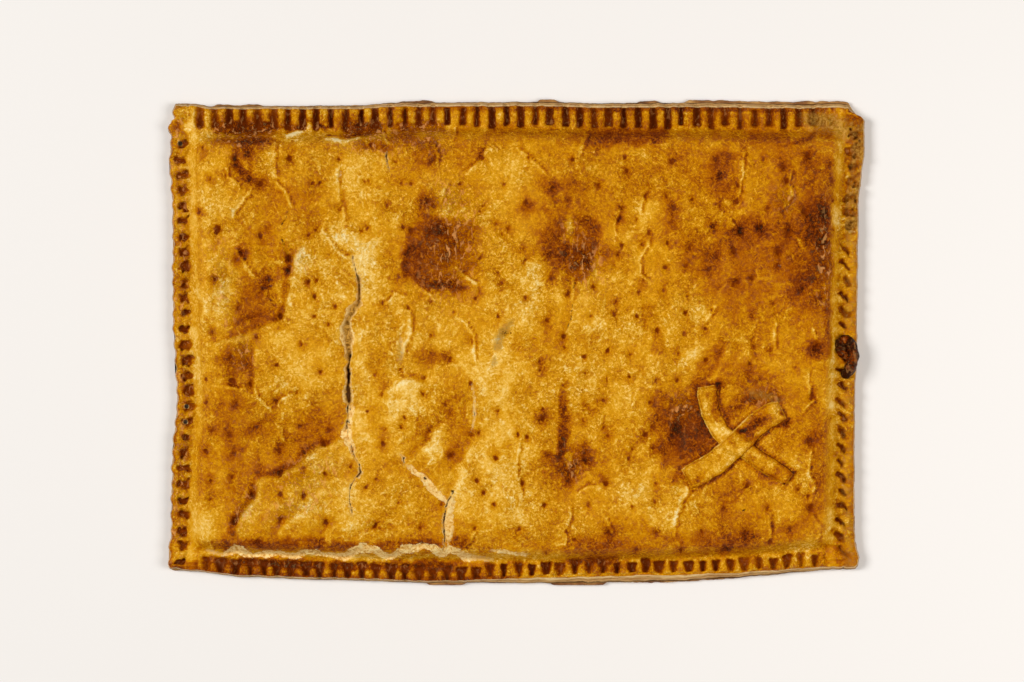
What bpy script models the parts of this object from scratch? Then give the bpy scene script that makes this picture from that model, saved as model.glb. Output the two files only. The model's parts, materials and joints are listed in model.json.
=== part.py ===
"""A flat rectangular empanada: a base sheet of dough, a filled lid pressed down on it along all four
sides, and two strips of dough laid across each other on top. Metres, +Z up, standing on z = 0 with
the origin under the middle. +X runs along the long side."""

import math

import bmesh
import bpy
import numpy as np
from mathutils import Matrix, Vector, noise
from mathutils.bvhtree import BVHTree

MM = 0.001

# Driving sizes
LENGTH = 350.5 * MM
WIDTH = 242.0 * MM
BASE_THICK = 2.6 * MM
LID_THICK = 3.3 * MM
BODY_HEIGHT = 17.0 * MM
STRIP_THICK = 2.6 * MM
GAP = 0.3 * MM

RIM_TOP = BASE_THICK + GAP + LID_THICK

# The sides aren't straight. Each list runs along a side, in millimetres from its middle, and says how
# far the dough's edge lies inside the straight side there.
TOP_INSET = [(-156, 2.7), (-86, 2.3), (-56, 0.9), (14, 0.6), (44, 1.5), (94, 0.9), (134, 1.6), (164, 1.5)]
BOTTOM_INSET = [(-166, 7.0), (-136, 4.2), (-96, 2.7), (-46, 1.2), (24, 0.8), (74, 1.8), (114, 3.7), (144, 6.2), (164, 7.7)]
LEFT_INSET = [(-110, 1.0), (-98, 2.4), (-74, 2.9), (-29, 5.9), (31, 3.9), (71, 3.4), (91, 1.8), (104, 1.2)]
RIGHT_INSET = [(-112, 3.9), (-99, 5.4), (-69, 5.9), (-29, 5.4), (-14, 3.4), (31, 2.4), (71, 2.2), (96, 0.9), (108, 0.4)]

# Where the base sheet sticks out past the lid: side, from, to (mm along the side), how far (mm)
BASE_TONGUES = [
    ("top", -152, -126, 0.8),
    ("top", -60, -40, 0.8),
    ("top", 10, 22, 1.5),
    ("top", 60, 73, 1.1),
    ("top", 84, 168, 1.3),
    ("bottom", -46, -24, 1.4),
    ("bottom", 16, 46, 1.5),
    ("bottom", 58, 112, 0.6),
]
BASE_EDGE_POINTS = 240
BASE_RAGGED = 0.35 * MM

CORNER = 4.0 * MM

# The pressed rim, the steep slope up from it, and the slant of the lid's cut edge, on each side. Past
# the steep slope the lid still rises, over the shoulder's width, by its share of the body's height.
RIM = {"top": 12.6 * MM, "bottom": 11.0 * MM, "left": 9.6 * MM, "right": 10.6 * MM}
SLOPE = {"top": 8.0 * MM, "bottom": 7.0 * MM, "left": 7.5 * MM, "right": 6.0 * MM}
SHOULDER_WIDTH = 26.0 * MM
SHOULDER_SHARE = 0.36
SLANT = {"top": 1.7 * MM, "bottom": 2.0 * MM, "left": 0.9 * MM, "right": 1.0 * MM}

# Marks of the tines: how many on a side, the first one's place (mm along the side), the pitch, the
# distance from the cut edge to the mark's outer end, its length, its width and its turn
CRIMPS = {
    "top": (43, -158.0, 7.3, 3.0, 9.4, 3.7, 0.0),
    "bottom": (44, -154.6, 7.08, 3.2, 7.6, 3.8, 0.0),
    "left": (29, -108.5, 7.6, 2.5, 4.6, 4.2, 0.0),
    "right": (29, -108.0, 7.55, 3.6, 5.4, 2.4, -34.0),
}
CRIMP_DEPTH = 2.4 * MM
CRIMP_TAPER = 0.62

# Three of the left marks went right through both sheets, counted from the bottom of the side
PIERCED = (9, 10, 28)
PIERCED_RADIUS = 0.9 * MM

# Swells and hollows of the filling under the lid: middle x, y (mm), half length, half width (mm),
# turn of the long axis (degrees) and height (mm)
FORMS = {
    "left_pocket": (-127, 30, 32, 13, 72, -1.9),
    "left_shelf": (-152, 10, 60, 10, 88, 0.8),
    "lower_left_basin": (-117, -44, 34, 17, 38, -1.8),
    "lower_left_swell": (-98, -82, 40, 15, 20, 1.2),
    "upper_left_plate": (-100, 78, 26, 20, 20, 0.9),
    "split_left_bank": (-96, -4, 30, 12, 84, 0.9),
    "split_right_bank": (-64, -8, 55, 14, 88, 1.3),
    "dark_hollow": (-38, 50, 20, 17, 0, -1.5),
    "second_hollow": (28, 52, 18, 14, 60, -1.3),
    "middle_swell": (2, 10, 45, 24, 80, 1.2),
    "crease_hollow": (24, -60, 26, 7, 84, -1.7),
    "right_swell": (78, 10, 60, 40, 10, 0.9),
    "cross_seat": (110, -52, 34, 26, 0, -0.6),
    "right_edge_hollow": (146, 40, 36, 10, 88, -1.0),
    "bottom_swell": (60, -88, 60, 12, 0, 0.6),
}
LUMP_HEIGHT = 0.55 * MM
LUMP_SIZE = 34.0 * MM
CROWN = 1.0 * MM

# Ledges where a flap of the lid stands higher than the dough beside it: a line of points (mm), with
# the low side on its left, the drop and how far the low side reaches (mm)
LEDGES = {
    "lower_left": ([(-140, -90), (-130, -78), (-128, -66), (-106, -61), (-86, -46)], 1.5, 16.0),
    "left": ([(-148, 0), (-123, 8), (-114, 15)], 1.1, 12.0),
    "middle": ([(-68, -26), (-60, -22), (-57, -11)], 0.7, 8.0),
}
LEDGE_WIDTH = 2.5 * MM

# Splits in the lid, each a line of points (mm), with its width and depth
SPLITS = {
    "long_split": (
        [(-84, 44), (-80, 28), (-79, 16), (-84, 6), (-86, -10), (-84, -22), (-86, -36), (-82, -54), (-82, -76)],
        2.2,
        2.2,
    ),
    "lower_split": ([(-60, -55), (-50, -64), (-38, -76), (-37, -88), (-36, -100)], 1.6, 1.6),
    "edge_split": ([(-148, -104), (-120, -106), (-92, -104), (-60, -106), (-36, -103), (-20, -108)], 2.2, 1.2),
    "crease": ([(26, -28), (24, -50), (26, -70)], 1.6, 1.8),
}

SPLIT_FOOT = 0.3

# Strips on top: centre line (mm), width at the two ends (mm)
UNDER_STRIP = ([(93.5, -22.0), (98.0, -36.0), (106.0, -49.0), (117.0, -59.0), (136.5, -68.5)], 10.6, 8.6)
OVER_STRIP = ([(84.5, -67.0), (103.0, -57.0), (116.5, -46.0), (131.5, -31.5)], 13.0, 12.0)
STRIP_STEPS = 20
STRIP_ACROSS = 4

# Marks of the docking roller: rows across the lid, every second one half a pitch along, with the turn
# and the slant of the rows, the pits' size, and how many are deep enough to show
DOCK_PITCH = 23.5 * MM
DOCK_ROW = 12.2 * MM
DOCK_START = (-3.5 * MM, -91.8 * MM)
DOCK_SLANT = -0.03
DOCK_TURN = -0.01
DOCK_RADIUS = 1.1 * MM
DOCK_DEPTH = 1.6 * MM
DOCK_MARGIN = 4.0 * MM
DOCK_SKIPPED = 0.12

# A curl of burnt dough on the right rim: middle (mm), radius of the curl, thickness, its opening
CURL_MIDDLE = (165.5, -7.0)
CURL_RADII = (4.2 * MM, 7.6 * MM)
CURL_THICK = 2.2 * MM
CURL_OPENING = 80.0
CURL_LIFT = 0.6 * MM

# Grid of the lid: distances of the first lines from the cut edge, then an even pitch over the middle
EDGE_LINES = (0.0, 2.2, 6.0, 9.8, 13.0, 16.5, 20.5)
MIDDLE_PITCH = 7.9 * MM

CRUST_COLOUR = (0.56, 0.25, 0.03, 1.0)
BASE_COLOUR = (0.42, 0.19, 0.04, 1.0)
STRIP_COLOUR = (0.62, 0.31, 0.05, 1.0)


def eased(points, at):
    """Value at a place along a side, smooth between the given points."""
    places = np.array([p[0] for p in points], float) * MM
    values = np.array([p[1] for p in points], float) * MM
    at = np.asarray(at, float)
    i = np.clip(np.searchsorted(places, at) - 1, 0, len(places) - 2)
    t = np.clip((at - places[i]) / (places[i + 1] - places[i]), 0, 1)
    t = t * t * (3 - 2 * t)
    return values[i] * (1 - t) + values[i + 1] * t


def step(value):
    value = np.clip(value, 0, 1)
    return value * value * (3 - 2 * value)


def sides(x, y):
    """Distance inwards from each of the four edges of the lid."""
    return {
        "top": WIDTH / 2 - eased(TOP_INSET, x) - y,
        "bottom": WIDTH / 2 - eased(BOTTOM_INSET, x) + y,
        "left": LENGTH / 2 - eased(LEFT_INSET, y) + x,
        "right": LENGTH / 2 - eased(RIGHT_INSET, y) - x,
    }


def field(x, y, size, seed):
    """Smooth noise from -1 to 1 at each point."""
    flat_x, flat_y = np.ravel(x), np.ravel(y)
    values = [noise.noise(Vector((a / size, b / size, seed))) for a, b in zip(flat_x, flat_y)]
    return np.reshape(values, np.shape(x))


def ledge_drop(x, y, points, drop, reach):
    """How far the surface lies lower on the left of a ledge, fading away from it."""
    nearest = np.full(x.shape, 1.0)
    offset = np.zeros(x.shape)
    for (ax, ay), (bx, by) in zip(points, points[1:]):
        dx, dy = (bx - ax) * MM, (by - ay) * MM
        length = math.hypot(dx, dy)
        px, py = x - ax * MM, y - ay * MM
        along = np.clip((px * dx + py * dy) / length**2, 0, 1)
        far = np.hypot(px - along * dx, py - along * dy)
        closer = far < nearest
        nearest = np.where(closer, far, nearest)
        offset = np.where(closer, (dx * py - dy * px) / length, offset)
    left = step(offset / LEDGE_WIDTH + 0.5)
    return -drop * MM * left * np.exp(-((nearest / (reach * MM)) ** 2))


def lid_height(x, y):
    """Height of the lid's upper surface, without tine marks and splits."""
    x, y = np.asarray(x, float), np.asarray(y, float)
    inside = sides(x, y)
    body = np.ones(x.shape)
    for name, distance in inside.items():
        steep = step((distance - RIM[name]) / SLOPE[name])
        gentle = 1 - (1 - np.clip((distance - RIM[name]) / SHOULDER_WIDTH, 0, 1)) ** 2
        body = body * (steep * (1 - SHOULDER_SHARE) + gentle * SHOULDER_SHARE)
    nearest = np.minimum.reduce(list(inside.values()))
    lip = 0.5 * MM * (1 - step(nearest / (2.5 * MM)))
    forms = CROWN * np.cos(math.pi * x / LENGTH) * np.cos(math.pi * y / WIDTH)
    forms = forms + LUMP_HEIGHT * field(x, y, LUMP_SIZE, 3.7)
    for cx, cy, long, wide, turn, height in FORMS.values():
        c, s = math.cos(math.radians(turn)), math.sin(math.radians(turn))
        dx, dy = x - cx * MM, y - cy * MM
        along = (dx * c + dy * s) / (long * MM)
        across = (dy * c - dx * s) / (wide * MM)
        forms = forms + height * MM * np.exp(-(along**2) - across**2)
    for points, drop, reach in LEDGES.values():
        forms = forms + ledge_drop(x, y, points, drop, reach)
    return RIM_TOP - lip + body * (BODY_HEIGHT - RIM_TOP + forms)


def material(name, colour, roughness):
    mat = bpy.data.materials.new(name)
    mat.use_nodes = True
    shader = mat.node_tree.nodes["Principled BSDF"]
    shader.inputs["Base Color"].default_value = colour
    shader.inputs["Roughness"].default_value = roughness
    shader.inputs["Metallic"].default_value = 0.0
    return mat


def face_outwards(bm):
    """Turns the faces of one closed solid to look outwards."""
    bmesh.ops.recalc_face_normals(bm, faces=bm.faces)
    if bm.calc_volume(signed=True) < 0:
        bmesh.ops.reverse_faces(bm, faces=bm.faces)


def add_object(name, bm, collection, mat=None):
    mesh = bpy.data.meshes.new(name)
    bm.to_mesh(mesh)
    bm.free()
    obj = bpy.data.objects.new(name, mesh)
    collection.objects.link(obj)
    if mat:
        mesh.materials.append(mat)
    return obj


def grid_lines(length):
    """Places of the grid's lines over a side of that length, close together at both rims."""
    edge = [d * MM for d in EDGE_LINES]
    middle = length - 2 * edge[-1]
    count = round(middle / MIDDLE_PITCH)
    inner = [edge[-1] + middle * i / count for i in range(count + 1)]
    return edge[:-1] + inner + [length - d for d in reversed(edge[:-1])]


def rounded(across, along):
    """Pulls a point in the square of a corner into a round corner. Both are distances from the edges."""
    if across >= CORNER or along >= CORNER:
        return across, along
    a, b = CORNER - across, CORNER - along
    share = max(a, b) / math.hypot(a, b)
    return CORNER - a * share, CORNER - b * share


def on_lid(s, t):
    """Place of the lid's plan point at s along the length and t along the width, both distances."""
    across, along = min(s, LENGTH - s), min(t, WIDTH - t)
    new_across, new_along = rounded(across, along)
    s = new_across if s < LENGTH / 2 else LENGTH - new_across
    t = new_along if t < WIDTH / 2 else WIDTH - new_along
    x0, y0 = s - LENGTH / 2, t - WIDTH / 2
    left = -LENGTH / 2 + float(eased(LEFT_INSET, y0))
    right = LENGTH / 2 - float(eased(RIGHT_INSET, y0))
    bottom = -WIDTH / 2 + float(eased(BOTTOM_INSET, x0))
    top = WIDTH / 2 - float(eased(TOP_INSET, x0))
    return left + (right - left) * s / LENGTH, bottom + (top - bottom) * t / WIDTH


def lid_sheet():
    """The filled lid: a grid shaped to its upper surface, walled down to the base sheet and closed."""
    across, along = grid_lines(LENGTH), grid_lines(WIDTH)
    bm = bmesh.new()
    bmesh.ops.create_grid(bm, x_segments=len(across) - 1, y_segments=len(along) - 1, size=0.5)
    for vert in bm.verts:
        s = across[round((vert.co.x + 0.5) * (len(across) - 1))]
        t = along[round((vert.co.y + 0.5) * (len(along) - 1))]
        vert.co.xy = on_lid(s, t)
    points = np.array([vert.co for vert in bm.verts])
    for vert, height in zip(bm.verts, lid_height(points[:, 0], points[:, 1])):
        vert.co.z = height
    rim = [edge for edge in bm.edges if edge.is_boundary]
    cut = bmesh.ops.extrude_edge_only(bm, edges=rim)
    lower = [v for v in cut["geom"] if isinstance(v, bmesh.types.BMVert)]
    upper = {vert for edge in rim for vert in edge.verts}
    for vert in lower:
        vert.co.z = BASE_THICK + GAP
    for vert in upper:
        slant_in(vert)
    bmesh.ops.holes_fill(bm, edges=[e for e in bm.edges if e.is_boundary], sides=0)
    bmesh.ops.triangulate(bm, faces=bm.faces)
    face_outwards(bm)
    return bm


def slant_in(vert):
    """Moves a point of the lid's upper edge inwards, so that the cut edge slants."""
    inside = sides(vert.co.x, vert.co.y)
    reach = CORNER
    vert.co.x += SLANT["left"] * step(1 - inside["left"] / reach)
    vert.co.x -= SLANT["right"] * step(1 - inside["right"] / reach)
    vert.co.y -= SLANT["top"] * step(1 - inside["top"] / reach)
    vert.co.y += SLANT["bottom"] * step(1 - inside["bottom"] / reach)


def crimp_places(side):
    """Middle of each tine mark on a side, with its direction inwards and its distance from the edge."""
    count, first, pitch, outer, length, width, turn = CRIMPS[side]
    for i in range(count):
        at = (first + i * pitch) * MM
        inwards = (outer + length / 2) * MM
        if side == "top":
            yield Vector((at, WIDTH / 2 - float(eased(TOP_INSET, at)) - inwards)), -90.0
        elif side == "bottom":
            yield Vector((at, -WIDTH / 2 + float(eased(BOTTOM_INSET, at)) + inwards)), 90.0
        elif side == "left":
            yield Vector((-LENGTH / 2 + float(eased(LEFT_INSET, at)) + inwards, at)), 0.0
        else:
            yield Vector((LENGTH / 2 - float(eased(RIGHT_INSET, at)) - inwards, at)), 180.0


def crimp_cutters(side, collection):
    """One tapered block for each tine mark, narrower at its foot."""
    _, _, _, _, length, width, turn = CRIMPS[side]
    tall = 8.0 * MM
    for i, (place, direction) in enumerate(crimp_places(side)):
        vary = noise.noise(Vector((i * 1.7, len(side), 0.5)))
        depth = CRIMP_DEPTH * (1 + 0.25 * vary)
        bm = bmesh.new()
        bmesh.ops.create_cube(bm, size=1.0)
        for vert in bm.verts:
            foot = vert.co.z < 0
            vert.co.x *= length * MM * (0.86 if foot else 1.0)
            vert.co.y *= width * MM * (1 + 0.12 * vary) * (CRIMP_TAPER if foot else 1.0)
            vert.co.z = 0.0 if foot else tall
        if side == "left":
            corners = [edge for edge in bm.edges if abs(edge.verts[0].co.z - edge.verts[1].co.z) > depth]
            bmesh.ops.bevel(bm, geom=corners, offset=1.2 * MM, segments=1, profile=0.5, affect="EDGES", material=-1)
        turned = Matrix.Rotation(math.radians(direction + turn), 4, "Z")
        foot_height = float(lid_height(place.x, place.y)) - depth
        bm.transform(Matrix.Translation((place.x, place.y, foot_height)) @ turned)
        add_object(f"tine_{side}_{i}", bm, collection)


def split_cutter(name, points, width, depth, collection):
    """A ribbon that follows a split, narrow at its foot and opening a little upwards."""
    bm = bmesh.new()
    path = [Vector((a * MM, b * MM)) for a, b in points]
    above = 12.0 * MM
    rings = []
    for i, place in enumerate(path):
        ahead = path[min(i + 1, len(path) - 1)] - path[max(i - 1, 0)]
        side = Vector((-ahead.y, ahead.x)).normalized()
        size = 0.35 if i in (0, len(path) - 1) else 1.0
        top = width * MM * size
        foot = top * SPLIT_FOOT
        surface = float(lid_height(place.x, place.y))
        low, high = surface - depth * MM * size, surface + above
        corners = [(foot, low), (top, high), (-top, high), (-foot, low)]
        ring = [place + side * out / 2 for out, _ in corners]
        rings.append([bm.verts.new((p.x, p.y, z)) for p, (_, z) in zip(ring, corners)])
    for ring in (rings[0], rings[-1]):
        bm.faces.new(ring)
    for one, two in zip(rings, rings[1:]):
        for k in range(4):
            bm.faces.new((one[k], one[(k + 1) % 4], two[(k + 1) % 4], two[k]))
    bmesh.ops.triangulate(bm, faces=bm.faces)
    face_outwards(bm)
    add_object(name, bm, collection)


def dock_places():
    """Middle of each docking mark that lies on the raised part of the lid, clear of the strips."""
    rows, columns = round(WIDTH / DOCK_ROW), round(LENGTH / DOCK_PITCH)
    for j in range(-2, rows):
        for i in range(-columns, columns):
            y = DOCK_START[1] + j * DOCK_ROW
            x = DOCK_START[0] + (i + (j % 2) / 2) * DOCK_PITCH + DOCK_SLANT * y
            y += DOCK_TURN * x
            wander = noise.noise_vector(Vector((x * 40, y * 40, 2.3)))
            x, y = x + wander.x * 2.4 * MM, y + wander.y * 2.4 * MM
            inside = sides(x, y)
            clear = min(inside[name] - RIM[name] - SLOPE[name] for name in inside)
            shown = noise.noise(Vector((i * 3.1, j * 5.7, 0.4))) * 0.5 + 0.5 > DOCK_SKIPPED
            if clear > DOCK_MARGIN and shown and not near_strips(x, y):
                yield x, y


def near_strips(x, y):
    """True where a place lies under a strip or right beside one."""
    for points, first_width, last_width in (UNDER_STRIP, OVER_STRIP):
        reach = max(first_width, last_width) / 2 * MM + 2 * MM
        if any((place - Vector((x, y))).length < reach for place, _ in smooth_path(points, 12)):
            return True
    return False


def dock_cutters(collection):
    """A four-sided spike for each docking mark."""
    tall = 4.0 * MM
    for i, (x, y) in enumerate(dock_places()):
        bm = bmesh.new()
        wide = DOCK_RADIUS * (1 + tall / DOCK_DEPTH)
        bmesh.ops.create_cone(
            bm, cap_ends=True, segments=4, radius1=0, radius2=wide, depth=DOCK_DEPTH + tall
        )
        foot = float(lid_height(x, y)) - DOCK_DEPTH
        bm.transform(Matrix.Translation((x, y, foot + (DOCK_DEPTH + tall) / 2)))
        add_object(f"dock_{i}", bm, collection)


def curl(collection):
    """The open ring of burnt dough on the right rim, sunk halfway into it."""
    line = bpy.data.curves.new("curl", "CURVE")
    line.dimensions = "3D"
    line.bevel_depth = CURL_THICK
    line.bevel_resolution = 1
    line.use_fill_caps = True
    turns = np.radians(np.linspace(180 + CURL_OPENING / 2, 540 - CURL_OPENING / 2, 13))
    spline = line.splines.new("POLY")
    spline.points.add(len(turns) - 1)
    for point, turn in zip(spline.points, turns):
        x = CURL_MIDDLE[0] * MM + CURL_RADII[0] * math.cos(turn)
        y = CURL_MIDDLE[1] * MM + CURL_RADII[1] * math.sin(turn)
        point.co = (x, y, RIM_TOP + CURL_LIFT, 1.0)
    drawn = bpy.data.objects.new("curl_line", line)
    collection.objects.link(drawn)
    graph = bpy.context.evaluated_depsgraph_get()
    mesh = bpy.data.meshes.new_from_object(drawn.evaluated_get(graph))
    bpy.data.objects.remove(drawn)
    bm = bmesh.new()
    bm.from_mesh(mesh)
    bmesh.ops.remove_doubles(bm, verts=bm.verts, dist=0.01 * MM)
    face_outwards(bm)
    add_object("curl", bm, collection)


def pierced_cutters(collection):
    """Straight round holes where a tine went through both sheets."""
    places = list(crimp_places("left"))
    for i in PIERCED:
        place = places[i][0]
        bm = bmesh.new()
        bmesh.ops.create_cone(
            bm, cap_ends=True, segments=8, radius1=PIERCED_RADIUS, radius2=PIERCED_RADIUS, depth=30 * MM
        )
        bm.transform(Matrix.Translation((place.x, place.y, 0)))
        add_object(f"hole_{i}", bm, collection)


def tongue(side, at):
    """How far the base sheet sticks out past the lid at a place along a side."""
    out = 0.0
    for name, start, end, reach in BASE_TONGUES:
        if name == side:
            middle, half = (start + end) / 2 * MM, (end - start) / 2 * MM
            out += reach * MM * float(step((half - abs(at - middle)) / (3 * MM)))
    return out


def base_outline(share):
    """Point of the base sheet's edge, at a share of the way round, with ragged cuts."""
    round_trip = 2 * (LENGTH + WIDTH)
    run = share * round_trip
    if run < LENGTH:
        side, s, t = "bottom", run, 0.0
    elif run < LENGTH + WIDTH:
        side, s, t = "right", LENGTH, run - LENGTH
    elif run < 2 * LENGTH + WIDTH:
        side, s, t = "top", 2 * LENGTH + WIDTH - run, WIDTH
    else:
        side, s, t = "left", 0.0, round_trip - run
    x, y = on_lid(s, t)
    at = x if side in ("top", "bottom") else y
    rough = BASE_RAGGED * noise.noise(Vector((x / (4 * MM), y / (4 * MM), 9.1)))
    out = rough + tongue(side, at)
    outwards = {"top": (0, 1), "bottom": (0, -1), "left": (-1, 0), "right": (1, 0)}[side]
    return Vector((x + outwards[0] * out, y + outwards[1] * out))


def base_sheet():
    """The base sheet: a ragged outline filled and raised to its thickness, a little smaller on top."""
    bm = bmesh.new()
    bmesh.ops.create_circle(bm, cap_ends=True, segments=BASE_EDGE_POINTS, radius=1.0)
    for vert in bm.verts:
        angle = math.atan2(vert.co.y, vert.co.x) % (2 * math.pi)
        vert.co.xy = base_outline(round(angle / (2 * math.pi) * BASE_EDGE_POINTS) % BASE_EDGE_POINTS / BASE_EDGE_POINTS)
    raised = bmesh.ops.extrude_face_region(bm, geom=bm.faces[:])
    for vert in [v for v in raised["geom"] if isinstance(v, bmesh.types.BMVert)]:
        vert.co.x *= 1 - 0.8 * MM / (LENGTH / 2)
        vert.co.y *= 1 - 0.8 * MM / (WIDTH / 2)
        vert.co.z = BASE_THICK
    bmesh.ops.triangulate(bm, faces=bm.faces)
    face_outwards(bm)
    return bm


def smooth_path(points, count):
    """Points on a smooth curve through the given ones (mm), with the direction at each."""
    knots = [Vector((a * MM, b * MM)) for a, b in points]
    before = knots[0] * 2 - knots[1]
    after = knots[-1] * 2 - knots[-2]
    knots = [before, *knots, after]
    spans = len(knots) - 3
    found = []
    for i in range(count + 1):
        u = i / count * spans
        k = min(int(u), spans - 1)
        t = u - k
        a, b, c, d = knots[k : k + 4]
        place = (2 * b + (c - a) * t + (2 * a - 5 * b + 4 * c - d) * t**2 + (3 * b - a - 3 * c + d) * t**3) / 2
        slope = ((c - a) + (2 * a - 5 * b + 4 * c - d) * 2 * t + (3 * b - a - 3 * c + d) * 3 * t**2) / 2
        found.append((place, slope.normalized()))
    return found


def strip(spec, ground):
    """A flat strip of dough that lies on what the ground function gives, closed on all sides."""
    points, first_width, last_width = spec
    path = smooth_path(points, STRIP_STEPS)
    bm = bmesh.new()
    bmesh.ops.create_grid(bm, x_segments=STRIP_STEPS, y_segments=STRIP_ACROSS, size=0.5)
    for vert in bm.verts:
        along, across = vert.co.x + 0.5, vert.co.y
        place, direction = path[round(along * STRIP_STEPS)]
        width = (first_width + (last_width - first_width) * along) * MM
        spot = place + Vector((-direction.y, direction.x)) * width * across
        vert.co = (spot.x, spot.y, ground(spot) + GAP)
    raised = bmesh.ops.extrude_face_region(bm, geom=bm.faces[:])
    for vert in [v for v in raised["geom"] if isinstance(v, bmesh.types.BMVert)]:
        vert.co.z += STRIP_THICK
    bmesh.ops.triangulate(bm, faces=bm.faces)
    face_outwards(bm)
    return bm


def top_of(trees, reach):
    """A function that gives the highest point of these solids near a place."""
    offsets = [Vector((0, 0))] + [Vector((math.cos(a), math.sin(a))) * reach for a in np.arange(8) * math.pi / 4]

    def ground(spot):
        heights = []
        for tree in trees:
            for offset in offsets:
                start = Vector((spot.x + offset.x, spot.y + offset.y, 0.1))
                hit = tree.ray_cast(start, Vector((0, 0, -1)))[0]
                if hit:
                    heights.append(hit.z)
        return max(heights)

    return ground


def combine(obj, collection, operation):
    """Cuts a collection's solids out of an object, or joins them to it, and keeps the result."""
    modifier = obj.modifiers.new("combine", "BOOLEAN")
    modifier.operation = operation
    modifier.operand_type = "COLLECTION"
    modifier.collection = collection
    modifier.solver = "MANIFOLD"
    graph = bpy.context.evaluated_depsgraph_get()
    mesh = bpy.data.meshes.new_from_object(obj.evaluated_get(graph))
    obj.modifiers.clear()
    obj.data = mesh


def tree_of(obj):
    return BVHTree.FromObject(obj, bpy.context.evaluated_depsgraph_get())


def collection_of(name):
    made = bpy.data.collections.new(name)
    bpy.context.scene.collection.children.link(made)
    return made


def remove_all(collection):
    for obj in list(collection.objects):
        bpy.data.objects.remove(obj)
    bpy.data.collections.remove(collection)


def main():
    for obj in list(bpy.data.objects):
        bpy.data.objects.remove(obj)
    pie = collection_of("empanada")
    crust = material("golden_crust", CRUST_COLOUR, 0.45)
    under = material("base_crust", BASE_COLOUR, 0.7)
    dough = material("strip_crust", STRIP_COLOUR, 0.5)

    lid = add_object("lid_crust", lid_sheet(), pie, crust)
    base = add_object("base_crust", base_sheet(), pie, under)

    curls = collection_of("curls")
    curl(curls)
    combine(lid, curls, "UNION")
    remove_all(curls)

    marks = collection_of("marks")
    for side in CRIMPS:
        crimp_cutters(side, marks)
    dock_cutters(marks)
    combine(lid, marks, "DIFFERENCE")
    remove_all(marks)

    holes = collection_of("holes")
    pierced_cutters(holes)
    combine(lid, holes, "DIFFERENCE")
    combine(base, holes, "DIFFERENCE")
    remove_all(holes)

    for name, (points, width, depth) in SPLITS.items():
        splits = collection_of("splits")
        split_cutter(name, points, width, depth, splits)
        combine(lid, splits, "DIFFERENCE")
        remove_all(splits)

    bpy.context.view_layer.update()
    lid_tree = tree_of(lid)
    lower = add_object("cross_strip_under", strip(UNDER_STRIP, top_of([lid_tree], 1.5 * MM)), pie, dough)
    bpy.context.view_layer.update()
    both = [lid_tree, tree_of(lower)]
    add_object("cross_strip_over", strip(OVER_STRIP, top_of(both, 2.6 * MM)), pie, dough)


main()
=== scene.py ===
"""The looks of a flat rectangular ham and cheese empanada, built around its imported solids.

Metres, in the solids' own frame: +X along the long side, +Y across it, +Z up, standing on z = 0.
The tables of places and sizes are in millimetres.
"""

import json
import math
from functools import partial

import bmesh
import bpy
import numpy as np
from mathutils import Matrix, Vector, noise

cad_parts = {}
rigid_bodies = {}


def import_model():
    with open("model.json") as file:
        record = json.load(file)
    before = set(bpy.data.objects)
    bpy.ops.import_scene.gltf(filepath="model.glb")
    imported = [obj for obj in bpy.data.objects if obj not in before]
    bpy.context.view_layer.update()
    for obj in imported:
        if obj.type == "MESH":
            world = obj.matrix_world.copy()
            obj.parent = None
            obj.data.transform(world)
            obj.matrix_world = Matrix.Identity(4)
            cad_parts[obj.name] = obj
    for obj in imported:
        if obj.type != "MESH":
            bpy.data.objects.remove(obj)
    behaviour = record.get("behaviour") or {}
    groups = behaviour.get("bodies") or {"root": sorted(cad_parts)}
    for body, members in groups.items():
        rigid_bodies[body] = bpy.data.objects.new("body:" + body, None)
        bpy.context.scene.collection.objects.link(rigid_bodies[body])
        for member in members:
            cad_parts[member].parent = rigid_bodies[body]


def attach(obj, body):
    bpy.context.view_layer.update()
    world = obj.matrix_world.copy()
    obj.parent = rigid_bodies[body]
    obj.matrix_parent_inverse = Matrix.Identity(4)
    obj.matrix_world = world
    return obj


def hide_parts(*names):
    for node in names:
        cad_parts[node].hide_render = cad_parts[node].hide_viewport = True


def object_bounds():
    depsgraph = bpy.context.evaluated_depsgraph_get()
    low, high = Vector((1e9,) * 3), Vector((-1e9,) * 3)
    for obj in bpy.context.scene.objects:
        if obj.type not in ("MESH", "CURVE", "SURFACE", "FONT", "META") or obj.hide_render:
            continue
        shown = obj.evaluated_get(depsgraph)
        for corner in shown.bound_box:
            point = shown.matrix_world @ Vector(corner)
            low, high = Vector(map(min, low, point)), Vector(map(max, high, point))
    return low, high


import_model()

CAD_BOX = [list(corner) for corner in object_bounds()]
MM = 0.001


# The lower sheet of dough. It was rolled out by hand, cut with a knife and baked dry on the tray, so
# its cut edge is flaky, and brown scraps of it stick out past the lid here and there.
LENGTH = 350.5 * MM
WIDTH = 242.0 * MM
BASE_THICK = 2.6 * MM
GAP = 0.3 * MM
CORNER = 4.0 * MM

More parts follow.
